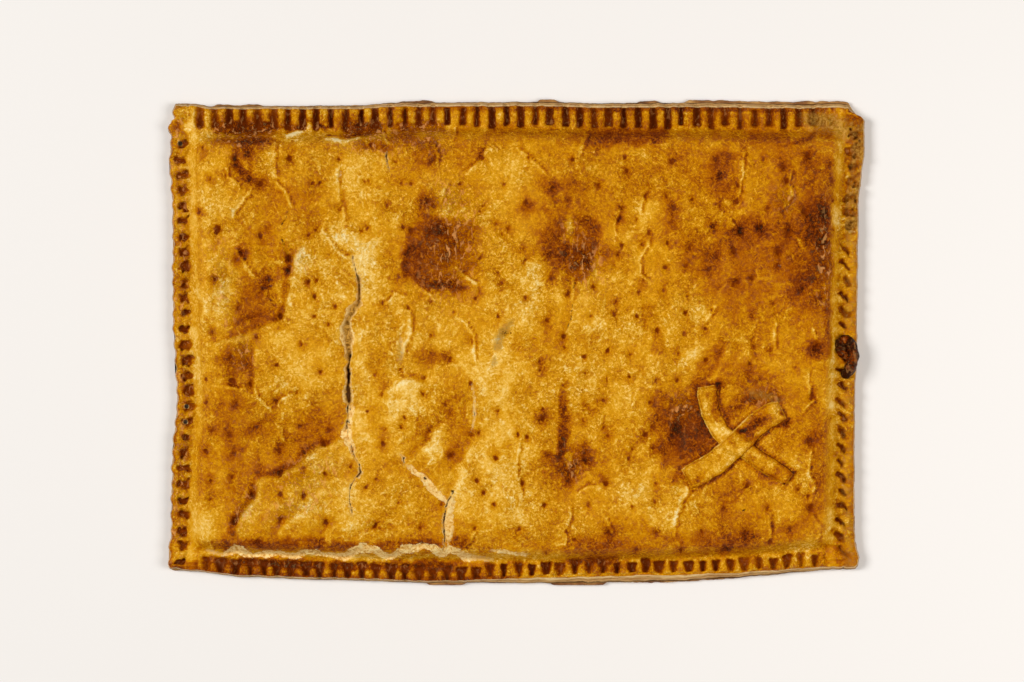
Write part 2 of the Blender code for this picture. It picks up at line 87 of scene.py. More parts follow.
# How far the dough's edge lies inside a straight side: place along the side and distance
INSET = {
    "top": [
        (-166, 1.2), (-156, 2.6), (-86, 2.2), (-56, 0.7), (14, 0.4), (44, 1.1), (94, 0.8), (134, 1.4),
        (164, 1.3),
    ],
    "bottom": [
        (-166, 6.5), (-136, 3.5), (-96, 2.1), (-46, 0.7), (24, 0.4), (74, 1.2), (114, 3.1), (127, 4.1),
        (144, 5.8), (164, 7.3),
    ],
    "left": [
        (-112, 1.1), (-99, 2.6), (-84, 2.4), (-66, 3), (-54, 3.3), (-46, 4.6), (-31, 5.5), (-12, 4.4),
        (6, 3.4), (44, 3.2), (66, 3), (81, 2.3), (90, 1.4), (97, 2.2), (103, 2.4), (108, 0.9), (111, 2.2),
        (113.5, 4.4), (118, 3.6),
    ],
    "right": [
        (-112, 4.2), (-104, 5.4), (-69, 5.6), (-29, 5.3), (-14, 4.6), (2, 4.3), (39, 3.9), (71, 3.4),
        (84, 2), (96, 0.6), (108, 0.5),
    ],
}

# The torn top right corner: how far x plus y may reach, and the bite out of that slanting edge, with
# where along it (x minus y) it lies and how wide it is
CORNER_REACH = 286.2
CORNER_BITE = 1.3
BITE_PLACE = 55.3
BITE_WIDTH = 3

# Where the base sheet sticks out past the lid: side, from and to along the side, how far
BASE_TONGUES = [
    ("top", -152, -126, 0.8), ("top", -60, -40, 0.8), ("top", 10, 22, 1.5), ("top", 60, 73, 1.1),
    ("top", 84, 168, 1.3), ("bottom", -46, -24, 1.4), ("bottom", 16, 46, 1.5), ("bottom", 58, 112, 0.6),
]
BASE_EDGE_POINTS = 1400
BASE_RAGGED = 0.3 * MM
MARGIN = 0.02 * MM

# Height of each ring of points round the sheet's edge, and how far it lies inwards
BASE_RINGS = [(0.0, 0.5), (0.3, 0.1), (0.9, 0.0), (1.3, 0.35), (1.7, 0.1), (2.3, 0.3), (2.6, 0.9)]

# Seeded numbers behind every uneven thing here, so that each run gives the same pie
TABLE = np.random.default_rng(41).random((256, 256))


def step(value):
    """Smooth rise from 0 to 1."""
    value = np.clip(value, 0, 1)
    return value * value * (3 - 2 * value)


def bell(value):
    """1 at 0, and fading to nothing on both sides of it."""
    return np.exp(-(value**2))


def uneven(x, y, size, seed=0, octaves=1):
    """Smooth noise from -1 to 1 over the plan, with lumps of that size."""
    x, y = np.asarray(x, float), np.asarray(y, float)
    total, weight = 0.0, 0.0
    for octave in range(octaves):
        u = x / size * 2**octave + 37.3 * seed + 11.7 * octave
        v = y / size * 2**octave + 91.9 * seed + 5.3 * octave
        iu, iv = np.floor(u).astype(int), np.floor(v).astype(int)
        fu, fv = step(u - iu), step(v - iv)
        corner = [[TABLE[(iu + a) % 256, (iv + b) % 256] for b in (0, 1)] for a in (0, 1)]
        low = corner[0][0] * (1 - fv) + corner[0][1] * fv
        high = corner[1][0] * (1 - fv) + corner[1][1] * fv
        total = total + (low * (1 - fu) + high * fu) * 0.6**octave
        weight += 0.6**octave
    return 2 * total / weight - 1


def inset(side, at):
    """How far the dough's edge lies inside the straight side, at a place along it."""
    places, values = np.array(INSET[side], float).T * MM
    at = np.asarray(at, float)
    i = np.clip(np.searchsorted(places, at) - 1, 0, len(places) - 2)
    t = step((at - places[i]) / (places[i + 1] - places[i]))
    return values[i] * (1 - t) + values[i + 1] * t


def on_sheet(s, t):
    """Plan point at s along the length and t along the width, inside the uneven outline."""
    across, along = np.minimum(s, LENGTH - s), np.minimum(t, WIDTH - t)
    a, b = np.maximum(CORNER - across, 0), np.maximum(CORNER - along, 0)
    both = (a > 0) & (b > 0)
    share = np.where(both, np.maximum(a, b) / np.maximum(np.hypot(a, b), 1e-9), 1.0)
    s = s + np.where(s < LENGTH / 2, 1, -1) * a * (1 - share)
    t = t + np.where(t < WIDTH / 2, 1, -1) * b * (1 - share)
    x0, y0 = s - LENGTH / 2, t - WIDTH / 2
    left = -LENGTH / 2 + inset("left", y0)
    right = LENGTH / 2 - inset("right", y0)
    bottom = -WIDTH / 2 + inset("bottom", x0)
    top = WIDTH / 2 - inset("top", x0)
    x, y = left + (right - left) * s / LENGTH, bottom + (top - bottom) * t / WIDTH
    bite = CORNER_BITE * bell(((x - y) / MM - BITE_PLACE) / BITE_WIDTH)
    past = np.maximum(x + y - (CORNER_REACH - bite) * MM, 0) / 2
    return x - past, y - past


def tongue(side, at):
    """How far the base sheet sticks out past the lid, at places along a side."""
    out = np.zeros(np.shape(at))
    for name, start, end, reach in BASE_TONGUES:
        middle, half = (start + end) / 2 * MM, (end - start) / 2 * MM
        out = out + (side == name) * reach * MM * step((half - np.abs(at - middle)) / (3 * MM))
    return out


# Over how many points to each side the edge's outward direction is found, so that it turns smoothly
CORNER_POINTS = 5


def sheet_edge(count):
    """Points round the dough's edge, their way outwards and how far the base sticks out there."""
    round_trip = 2 * (LENGTH + WIDTH)
    run = np.arange(count) / count * round_trip
    side = np.select(
        [run < LENGTH, run < LENGTH + WIDTH, run < 2 * LENGTH + WIDTH], ["bottom", "right", "top"], "left"
    )
    on = [side == name for name in ("bottom", "right", "top")]
    s = np.select(on, [run, LENGTH, 2 * LENGTH + WIDTH - run], 0.0)
    t = np.select(on, [0.0, run - LENGTH, WIDTH], round_trip - run)
    x, y = on_sheet(s, t)
    along = [np.roll(place, -CORNER_POINTS) - np.roll(place, CORNER_POINTS) for place in (x, y)]
    out = np.stack([along[1], -along[0]], axis=1) / np.hypot(*along)[:, None]
    return x, y, out, tongue(side, np.where(on[0] | on[2], x, y))


def new_piece(name, bm):
    """A mesh object at the origin, with smooth faces."""
    mesh = bpy.data.meshes.new(name)
    bm.to_mesh(mesh)
    bm.free()
    mesh.shade_smooth()
    piece = bpy.data.objects.new(name, mesh)
    bpy.context.scene.collection.objects.link(piece)
    return piece


def points_of(piece):
    """The places of a piece's points, one row each."""
    flat = np.zeros(len(piece.data.vertices) * 3)
    piece.data.vertices.foreach_get("co", flat)
    return flat.reshape(-1, 3)


def paint(piece, name, values):
    """Stores one number for each point, for the material to read."""
    layer = piece.data.attributes.new(name, "FLOAT", "POINT")
    layer.data.foreach_set("value", np.asarray(values, np.float32))


def within_box(x, y):
    """The plan point, held inside the solids' own extent."""
    (left, bottom, low), (right, top, high) = CAD_BOX
    return np.clip(x, left + MARGIN, right - MARGIN), np.clip(y, bottom + MARGIN, top - MARGIN)


def base_sheet():
    """A band of rings wrapped round the ragged edge, then closed above and below."""
    x, y, out, reach = sheet_edge(BASE_EDGE_POINTS)
    rough = BASE_RAGGED * uneven(x, y, 4 * MM, 5, 3) * np.where(reach > 0.2 * MM, 1.6, 0.8)
    levels = len(BASE_RINGS) - 1
    flakes = [0.35 * MM * uneven(x, y, 2.5 * MM, 20 + level, 2) for level in range(levels + 1)]
    bm = bmesh.new()
    bmesh.ops.create_grid(bm, x_segments=BASE_EDGE_POINTS, y_segments=levels, size=0.5)
    for vert in bm.verts:
        i = round((vert.co.x + 0.5) * BASE_EDGE_POINTS) % BASE_EDGE_POINTS
        level = round((vert.co.y + 0.5) * levels)
        height, inwards = BASE_RINGS[level]
        edge = reach[i] + rough[i] - inwards * MM - flakes[level][i]
        vert.co = (*within_box(x[i] + out[i][0] * edge, y[i] + out[i][1] * edge), height * MM)
    bmesh.ops.remove_doubles(bm, verts=bm.verts, dist=0.001 * MM)
    for height in (0, BASE_THICK):
        rim = [e for e in bm.edges if e.is_boundary and abs(e.verts[0].co.z - height) < 0.01 * MM]
        bmesh.ops.triangle_fill(bm, edges=rim, use_beauty=True)
    bmesh.ops.recalc_face_normals(bm, faces=bm.faces)
    return bm


def shader_of(name):
    """A new node material: its tree, its Principled shader and a call that adds a linked node."""
    mat = bpy.data.materials.new(name)
    mat.use_nodes = True
    tree = mat.node_tree
    shader = tree.nodes["Principled BSDF"]

    def add(kind, inputs=(), **settings):
        node = tree.nodes.new("ShaderNode" + kind)
        for key, value in settings.items():
            setattr(node, key, value)
        for key, value in dict(inputs).items():
            if isinstance(value, bpy.types.NodeSocket):
                tree.links.new(value, node.inputs[key])
            else:
                node.inputs[key].default_value = value
        return node

    return mat, tree, shader, add


def on_screen(colour):
    """A colour as it looks on screen, 0 to 255, in the values that a shader takes."""
    return (*[(c / 255) ** 2.2 for c in colour], 1.0)


def ramp_of(add, factor, stops):
    """A colour ramp over (place, colour on screen) stops."""
    node = add("ValToRGB", {"Fac": factor})
    ramp = node.color_ramp
    while len(ramp.elements) < len(stops):
        ramp.elements.new(0.5)
    for element, (place, colour) in zip(ramp.elements, stops):
        element.position = place
        element.color = on_screen(colour)
    return node.outputs["Color"]


# Where a tine of the fork went right through both sheets: which of the left marks, how wide the hole
# is, and how far inwards the marks there begin
PIERCED = (9, 10, 27)
PIERCED_RADIUS = 1.15 * MM
PIERCED_INWARDS = 1.9

# Marks of the tines: their side, how many, the first one's place along the side, the pitch, the
# distance from the crust's edge to the mark's outer end, its length, its width, its turn (degrees),
# how ragged its outline is, and the column of TABLE where its random draws begin
CRIMPS = {
    "top": ("top", 43, -158, 7.3, -3.2, 13, 3.6, 0, 0.45, 15),
    "bottom": ("bottom", 44, -154.6, 7.08, -1.6, 8.8, 3.8, 0, 0.5, 30),
    "left": ("left", 28, -109.4, 7.74, 2.3, 5.8, 3.7, 0, 1.9, 20),
    "right_low": ("right", 21, -104.8, 7.55, 2.8, 6.4, 2, -42, 1.5, 45),
    "right_high": ("right", 7, 58.1, 7.55, 1.2, 7, 4.2, -12, 3, 50),
}


def pierce(piece):
    """Cuts the three straight holes through a sheet, and leaves the result as its mesh."""
    side, count, first, pitch, outer, length, *rest = CRIMPS["left"]
    pins = bpy.data.collections.new("pins")
    bpy.context.scene.collection.children.link(pins)
    width = {"radius1": PIERCED_RADIUS, "radius2": PIERCED_RADIUS}
    for i in PIERCED:
        y = (first + i * pitch) * MM
        x = -LENGTH / 2 + float(inset("left", y)) + (PIERCED_INWARDS + length / 2) * MM
        bm = bmesh.new()
        bmesh.ops.create_cone(bm, cap_ends=True, segments=18, depth=40 * MM, **width)
        bm.transform(Matrix.Translation((x, y, 0)))
        pin = new_piece(f"pin_{i}", bm)
        bpy.context.scene.collection.objects.unlink(pin)
        pins.objects.link(pin)
    modifier = piece.modifiers.new("holes", "BOOLEAN")
    modifier.operation = "DIFFERENCE"
    modifier.operand_type = "COLLECTION"
    modifier.collection = pins
    modifier.solver = "MANIFOLD"
    mesh = bpy.data.meshes.new_from_object(piece.evaluated_get(bpy.context.evaluated_depsgraph_get()))
    piece.modifiers.clear()
    piece.data = mesh
    mesh.materials.clear()
    for pin in list(pins.objects):
        bpy.data.objects.remove(pin)
    bpy.data.collections.remove(pins)


# The base sheet's colours as they look on screen, 0 to 255, from pale to dark
BASE_TONES = [
    (0, (214, 174, 108)), (0.3, (180, 130, 66)), (0.55, (134, 84, 34)), (0.8, (94, 52, 20)),
    (1, (60, 32, 14)),
]


def base_material():
    """Dry baked dough in thin layers, browner on the scraps that stick out."""
    mat, tree, shader, add = shader_of("base_crust")
    place = add("TexCoord").outputs["Object"]
    layers = add("Mapping", {"Vector": place, "Scale": (60, 60, 900)}).outputs["Vector"]
    flakes = {"Vector": layers, "Scale": 1.0, "Detail": 5.0, "Roughness": 0.65}
    flaky = add("TexNoise", flakes).outputs["Fac"]
    mottling = {"Vector": place, "Scale": 160.0, "Detail": 5.0, "Roughness": 0.6}
    mottled = add("TexNoise", mottling).outputs["Fac"]
    scrap = add("Attribute", attribute_name="scrap").outputs["Fac"]
    mixed = add("Math", {0: flaky, 1: mottled}, operation="ADD").outputs[0]
    limits = {"From Min": 0.7, "From Max": 1.3, "To Min": 0.0, "To Max": 0.62}
    tone = add("MapRange", {"Value": mixed, **limits}).outputs[0]
    tone = add("Math", {0: scrap, 1: 0.26, 2: tone}, operation="MULTIPLY_ADD").outputs[0]
    tree.links.new(ramp_of(add, tone, BASE_TONES), shader.inputs["Base Color"])
    shader.inputs["Roughness"].default_value = 0.75
    bump = add("Bump", {"Height": mixed, "Strength": 0.5, "Distance": 0.0004})
    tree.links.new(bump.outputs["Normal"], shader.inputs["Normal"])
    return mat


base = new_piece("base_sheet", base_sheet())
pierce(base)
base_x, base_y = points_of(base).T[:2]
sticking_out = np.zeros(len(base_x))
for side, half in (("top", 1), ("bottom", -1)):
    sticking_out += (np.sign(base_y) == half) * step(tongue(side, base_x) / (0.6 * MM))
paint(base, "scrap", sticking_out * (0.7 + 0.3 * uneven(base_x, base_y, 5 * MM, 31)))
base.data.materials.append(base_material())
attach(base, "root")
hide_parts("base_crust")


# The lid with the filling under it. One sheet of egg-washed dough was laid over the ham and cheese,
# pressed down all round with a fork and pricked with a docking roller. The oven browned it unevenly,
# blistered it where the egg was thick and split it where the dough was stretched.
LID_THICK = 3.3 * MM
BODY_HEIGHT = 17.0 * MM
RIM_TOP = BASE_THICK + GAP + LID_THICK
RIM = {"top": 12.6 * MM, "bottom": 11.0 * MM, "left": 9.6 * MM, "right": 10.6 * MM}
SLOPE = {"top": 8.0 * MM, "bottom": 7.0 * MM, "left": 7.5 * MM, "right": 6.0 * MM}
SHOULDER_WIDTH = 26.0 * MM
SHOULDER_SHARE = 0.36
CROWN = 1.0 * MM
LUMP_HEIGHT = 0.55 * MM
LUMP_SIZE = 34.0 * MM

# How far the cut edge slants inwards from its foot to the crust: place along the side and distance
SLANT = {
    "top": [(-168, 1.4), (-90, 2.0), (-56, 2.4), (100, 2.6), (168, 2.4)],
    "bottom": [(-168, 1.0), (-100, 1.4), (-30, 1.3), (5, 3.0), (60, 3.7), (120, 2.8), (168, 1.6)],
    "left": [(-110, 0.8), (110, 0.8)],
    "right": [(-110, 0.9), (110, 0.9)],
}
SLANT_REACH = 7.0 * MM

# Swells and hollows of the filling: middle x, y, half length, half width, turn of the long axis
# (degrees) and height
FORMS = [
    (-127, 30, 32, 13, 72, -1.9), (-152, 10, 60, 10, 88, 0.8), (-117, -44, 34, 17, 38, -1.8),
    (-98, -82, 40, 15, 20, 1.2), (-100, 78, 26, 20, 20, 0.9), (-96, -4, 30, 12, 84, 0.9),
    (-64, -8, 55, 14, 88, 1.3), (-38, 50, 20, 17, 0, -1.5), (28, 52, 18, 14, 60, -1.3),
    (2, 10, 45, 24, 80, 1.2), (24, -60, 26, 7, 84, -1.7), (78, 10, 60, 40, 10, 0.9),
    (110, -52, 34, 26, 0, -0.6), (146, 40, 36, 10, 88, -1), (60, -88, 60, 12, 0, 0.6),
]

# Ledges where a flap of the lid stands higher than the dough beside it: a line of points, with the
# low side on its left, the drop, how far the low side reaches, the ledge's width, and how much paler
# its crest (a painted highlight where the edge faces the light) and browner its foot is
LEDGES = [
    ([(-138, -99), (-139.5, -92), (-138, -88), (-134, -83), (-131, -79.5), (-129, -75), (-128.5, -70),
     (-125, -67), (-118, -66.5), (-113, -63), (-107, -60), (-104, -56), (-97, -52), (-90, -50), (-85, -48)],
     2, 16, 1.7, 0.24),
    ([(-148, 0), (-136, 3), (-127, 7), (-118, 10.5), (-114.5, 15), (-113.5, 22), (-112, 30), (-110.5, 37),
     (-109, 43), (-104, 49)], 1.5, 12, 1.8, 0.2),
    ([(-67, -25), (-61, -22.5), (-58, -19.5), (-52, -18), (-45, -20)], 0.9, 8, 1.6, 0.14),
    ([(-119, -98), (-117, -92), (-113, -89), (-108, -85)], 0.6, 4, 1.4, 0.14),
    ([(-94, -101), (-94.5, -94), (-92, -91), (-88, -90)], 0.5, 4, 1.4, 0.14),
    ([(-54, -59), (-49, -54.5), (-42, -50.5), (-41, -45), (-35, -39)], 0.8, 6, 1.6, 0.16),
    ([(-33, -77), (-30, -71), (-27, -66), (-29, -62), (-25, -57), (-22, -50)], 0.9, 5, 1.6, 0.16),
    ([(24.5, 3), (27.5, 12), (28.5, 22), (29, 34), (37, 40), (40.5, 48), (40.5, 55), (36, 62), (28, 66)],
     0.9, 7, 1.4, 0.1),
    ([(96, -19), (101, -12), (103, -6), (106, 1)], 0.8, 6, 1.6, 0.12),
    ([(84, 22), (88, 28), (92, 32), (97, 33), (96, 38), (99, 43)], 0.6, 6, 1.4, 0.1),
    ([(-54, 30), (-55.5, 38), (-53, 46), (-47, 50)], -0.7, 7, 1.6, -0.06),
    ([(-131, -20), (-130, -10), (-130, 0)], 0.5, 7, 1.6, 0.14),
    ([(-123, 101), (-122, 92), (-121, 84), (-119, 79)], 0.5, 6, 1.5, 0.1),
]

# Raised pale wrinkles of the crust, each with painted shadow on its left: a line of points, width,
# height and how much paler
VEINS = [
    ([(-119.5, 101), (-120.5, 92), (-120, 85), (-118, 80.5)], 1.6, 0.4, 0.26),
    ([(-116, 102.5), (-110, 104.5), (-103, 108), (-97, 105.5)], 1.8, 0.5, 0.52),
    ([(-96, 102), (-90, 100.5), (-86, 100), (-76, 102)], 1.8, 0.4, 0.5),
    ([(-120, 80), (-117, 77), (-114, 74), (-112.5, 69), (-111, 66)], 1.3, 0.5, 0.3),
    ([(-131, 76), (-135, 71), (-139, 66), (-142, 61)], 1.5, 0.5, 0.26),
    ([(-143.5, 88), (-143, 82), (-138, 78.5), (-136, 75)], 1.2, 0.4, 0.24),
    ([(-139, 47), (-137, 43), (-134, 37), (-130, 33), (-127, 31)], 1.3, 0.5, 0.3),
    ([(-125, 27), (-124, 23), (-122, 19)], 1, 0.4, 0.24),
    ([(-88, 88), (-88.5, 80), (-87.5, 72), (-86, 66), (-84.5, 58)], 1.5, 0.4, 0.14),
    ([(-97, 57), (-93, 50.5), (-90, 46.5), (-86, 43), (-81, 42)], 1.3, 0.4, 0.22),
    ([(-130, -22), (-128, -27), (-124, -31), (-120.5, -34.5)], 1.1, 0.4, 0.24),
    ([(-119, -32), (-116, -27.5), (-110, -26)], 1.1, 0.4, 0.2),
    ([(-120, -39), (-117, -43), (-115.5, -50)], 1.1, 0.4, 0.26),
    ([(-146, -22.5), (-139, -23), (-133, -22.5)], 1.3, 0.4, 0.22),
    ([(-153, -99), (-151, -103.5)], 1.1, 0.3, 0.24),
    ([(-41, 99), (-39, 93), (-40, 88)], 1.3, 0.4, 0.22),
    ([(-30, 108), (-31, 100)], 1.1, 0.4, 0.24),
    ([(-33, 80), (-36, 75), (-37, 70)], 1.2, 0.4, 0.24),
    ([(-26, 83), (-22, 86), (-17, 90), (-13, 98)], 1.7, 0.4, 0.18),
    ([(35, 105), (32.5, 97), (30, 91)], 1.8, 0.4, 0.26),
    ([(0, 96), (5, 93), (10, 88), (16, 83)], 1.2, 0.4, 0.2),
    ([(-31, 38), (-26, 33), (-19, 29)], 1.2, 0.5, 0.3),
    ([(-50, 29), (-43, 24), (-40, 20)], 1.1, 0.4, 0.24),
    ([(-64, 19), (-60, 24), (-54, 23)], 1.3, 0.4, 0.2),
    ([(-53, 17), (-52.5, 10), (-53.5, 1), (-57, -7)], 1.5, 0.3, 0.2),
    ([(-29, 13), (-25, 9), (-21, 3), (-20.5, -10)], 1.1, 0.3, 0.2),
    ([(28.5, 33), (28, 26), (27, 20)], 1.5, 0.4, 0.22),
    ([(2, -48), (1, -57), (0, -65), (3, -75), (3, -83)], 1, 0.3, 0.12),
    ([(26, -80), (27, -87), (25, -92), (24, -100), (19, -101)], 1.3, 0.3, 0.2),
    ([(42, -84), (45, -88), (47.5, -95)], 1.1, 0.3, 0.18),
    ([(-20, -93), (-22, -98), (-27, -102)], 1.1, 0.4, 0.24),
    ([(66, 79), (63, 72), (61, 64)], 1.3, 0.3, 0.16),
    ([(66, 54), (65, 48), (61, 40), (62, 34), (67, 30)], 1.2, 0.4, 0.2),
    ([(113, 97), (112.5, 85), (111, 74), (110, 66)], 1.1, 0.4, 0.22),
    ([(137, 87), (135.5, 78), (137, 73), (133, 68), (131, 63)], 1.2, 0.5, 0.2),
    ([(100, 19), (96, 14), (93, 9)], 1.2, 0.3, 0.2),
    ([(129, 11), (128, 4), (129, -4)], 1.2, 0.3, 0.18),
    ([(147, 8), (149, 1)], 1.1, 0.4, 0.26),
    ([(145.5, -12), (145, -22), (147.5, -29), (141, -35)], 1.2, 0.3, 0.22),
    ([(147, -52), (146, -58), (144.5, -65), (149, -71), (146, -76)], 1.1, 0.4, 0.24),
    ([(147, -85), (151, -92), (150, -100)], 1.2, 0.4, 0.2),
    ([(86, -71), (81, -80), (78.5, -90), (78, -98)], 1.8, 0.3, 0.24),
    ([(125, -84), (126.5, -93), (125, -99)], 1.1, 0.3, 0.2),
    ([(107, 62), (106, 60), (109, 58)], 1.8, 0.5, 0.24),
    ([(-67, 108), (-66, 102), (-63, 98)], 1, 0.4, 0.26),
    ([(-74, 100), (-73, 96)], 1.2, 0.4, 0.22),
    ([(52, 66), (48, 58), (50, 52)], 1.2, 0.3, 0.14),
    ([(67, 104), (67, 98)], 1.1, 0.3, 0.2),
    ([(136, 41), (142, 47), (139, 52)], 1, 0.3, 0.14),
    ([(30, -75), (36, -71), (42, -71)], 1.1, 0.3, 0.14),
]

# Soft dark valleys of the crust: a line of points, width, depth and how much darker, as browner crust
# and painted shade in the valley
FOLDS = [
    ([(-140, 94), (-139, 89), (-136.5, 85), (-133, 82), (-130, 80.5)], 3.2, 1.2, 0.4),
    ([(-152, 100.5), (-142, 100.3), (-130, 100), (-121, 101)], 2.2, 0.7, 0.26),
    ([(22.5, -24), (23.5, -35), (23, -45), (22, -57)], 2.6, 0.9, 0.26),
    ([(29, -58), (28, -64), (25, -71)], 2.8, 0.9, 0.28),
    ([(33, 63), (39, 60), (42, 54), (41, 47), (37, 41), (33, 36)], 2.6, 0.7, 0.26),
    ([(-113, 42.5), (-113.5, 37), (-114.5, 31)], 2.4, 0.8, 0.12),
    ([(-117, 17.5), (-125, 15), (-134, 11.5), (-141, 9)], 2.2, 0.7, 0.14),
    ([(-52, 34), (-46, 30), (-38, 28), (-28, 27.5), (-22, 27)], 2.6, 0.6, 0.22),
    ([(-54, 32), (-55.5, 38), (-54, 45), (-49, 50)], 2.6, 0.7, 0.24),
    ([(-131, -22), (-131, -12), (-131, -2)], 1.8, 0.5, 0.16),
    ([(136, 98.5), (142, 100), (147, 102), (150, 106)], 1.6, 0.7, 0.3),
]

# Splits and fine cracks in the lid: a line of points, width, depth, how pale their dough is and how
# dark the painted shade at their bottom is
SPLITS = [
    ([(-81, 44), (-80.5, 40), (-79.5, 35), (-78.3, 31)], 1, 1, 0.7, 0.65),
    ([(-78.5, 33), (-77.8, 27), (-77.6, 20), (-80, 17.5)], 2.3, 1.8, 0.7, 0.2),
    ([(-80, 18.5), (-82.5, 13), (-84, 7), (-83.6, 1), (-83.3, -4), (-83.6, -9)], 4.4, 1.8, 1, 0),
    ([(-82.4, -5), (-83, -10), (-83, -20)], 1.4, 1.6, 0.4, 0.6),
    ([(-83.2, -11), (-83.3, -18), (-83.6, -26), (-83, -31)], 3.4, 1.8, 0.9, 0.45),
    ([(-82.3, -30), (-82.3, -36), (-84, -42), (-84.5, -46), (-82, -52), (-80.5, -57)], 3.2, 0.8, 1, 0.12),
    ([(-83.6, -31), (-84, -38), (-85, -44)], 0.9, 0.9, 0.3, 0.8),
    ([(-82, -50), (-81.5, -55), (-78, -60), (-77, -65), (-80, -68)], 1.2, 1, 0.6, 0.6),
    ([(-80, -68), (-82.5, -72), (-83, -78), (-81, -86)], 0.9, 0.9, 0.5, 0.65),
    ([(-154, -104.5), (-148, -106), (-144, -105), (-139, -103), (-135.5, -105), (-132, -106.5),
     (-127, -105.5), (-118, -106), (-110, -107), (-105, -103.8), (-99, -105), (-92, -106), (-86, -107.5),
     (-81.5, -104), (-77, -102.5), (-70, -103.5), (-65, -107), (-60, -106), (-55.5, -102.7), (-50, -102.6),
     (-46, -101), (-41, -102), (-37, -105), (-33, -102.3), (-28.5, -104), (-25, -107), (-19, -107.6),
     (-12, -108)], 3.3, 0.7, 1, 0),
    ([(-12, -103.5), (-5, -104), (2, -105.5), (6, -106)], 1.4, 0.5, 0.9, 0),
    ([(-31.5, -74), (-33.6, -79), (-35, -85), (-35.6, -92), (-35.2, -99), (-37, -105)], 1.2, 1.2, 0.3, 0.7),
    ([(-31.5, -76), (-32.6, -84), (-33.2, -92), (-33, -100)], 3, -0.5, 0.85, 0),
    ([(-54, -61), (-50, -64), (-46.5, -67), (-43, -71), (-37, -77), (-34.5, -79)], 2.6, 0.4, 0.9, 0),
    ([(-58, -55), (-56, -57), (-55.5, -61)], 1.3, 0.8, 0.6, 0.5),
    ([(-46, -67.5), (-44.3, -68)], 1.6, 0.8, 0.8, 0.6),
    ([(-32, -74), (-30.7, -74)], 1.3, 1.2, 0, 0.9),
    ([(-7, 6), (-5, 4.6), (-2, 4.8)], 1.5, 0.7, 0, 0.3),
    ([(-4.8, 6.6), (-4.6, 4.6), (-6, 2.6)], 1.5, 0.7, 0, 0.3),
    ([(-22, -20), (-21, -27), (-20.5, -32), (-20.5, -38), (-22, -44)], 0.8, 0.6, 0.7, 0.25),
    ([(-64.5, 95), (-64.5, 91), (-62.8, 85)], 1, 1, 0.4, 0.7),
    ([(-87, 85), (-88, 82)], 0.9, 0.6, 0.6, 0.4),
    ([(-116.8, 58), (-114.5, 61), (-113, 65)], 0.8, 0.7, 0, 0.5),
    ([(-116.5, 53), (-114.5, 47), (-113, 42)], 1, 0.9, 0, 0.6),
    ([(28, 20), (27.5, 12), (24.5, 4)], 0.8, 0.6, 0, 0.5),
    ([(29, 34), (29.5, 30), (28.5, 26)], 0.8, 0.6, 0, 0.4),
    ([(166, 55.5), (172, 55.8)], 0.9, 0.8, 0.9, 0),
    ([(-57.5, 3), (-56.5, -3), (-57.5, -9)], 1.3, 0.4, 0.5, 0.1),
    ([(112.3, -83.5), (114, -83)], 1, 0.7, 0, 0.7),
]

# Greyish places where filling soaked through: a line of points, width and strength
BRUISES = [
    ([(-9, -2), (-8.5, 2), (-6.5, 6), (-3, 9.5)], 5, 0.62),
    ([(-11.5, -11), (-10.5, -7)], 3, 0.55),
    ([(118, -25), (124, -27), (129, -28.5)], 6, 0.42),
    ([(-136, 73), (-139, 68), (-142, 62)], 2.6, 0.4),
    ([(148, 112), (157, 110), (164, 106)], 12, 0.62),
    ([(-57.5, 2), (-57.5, -4), (-58, -9)], 3, 0.45),
]

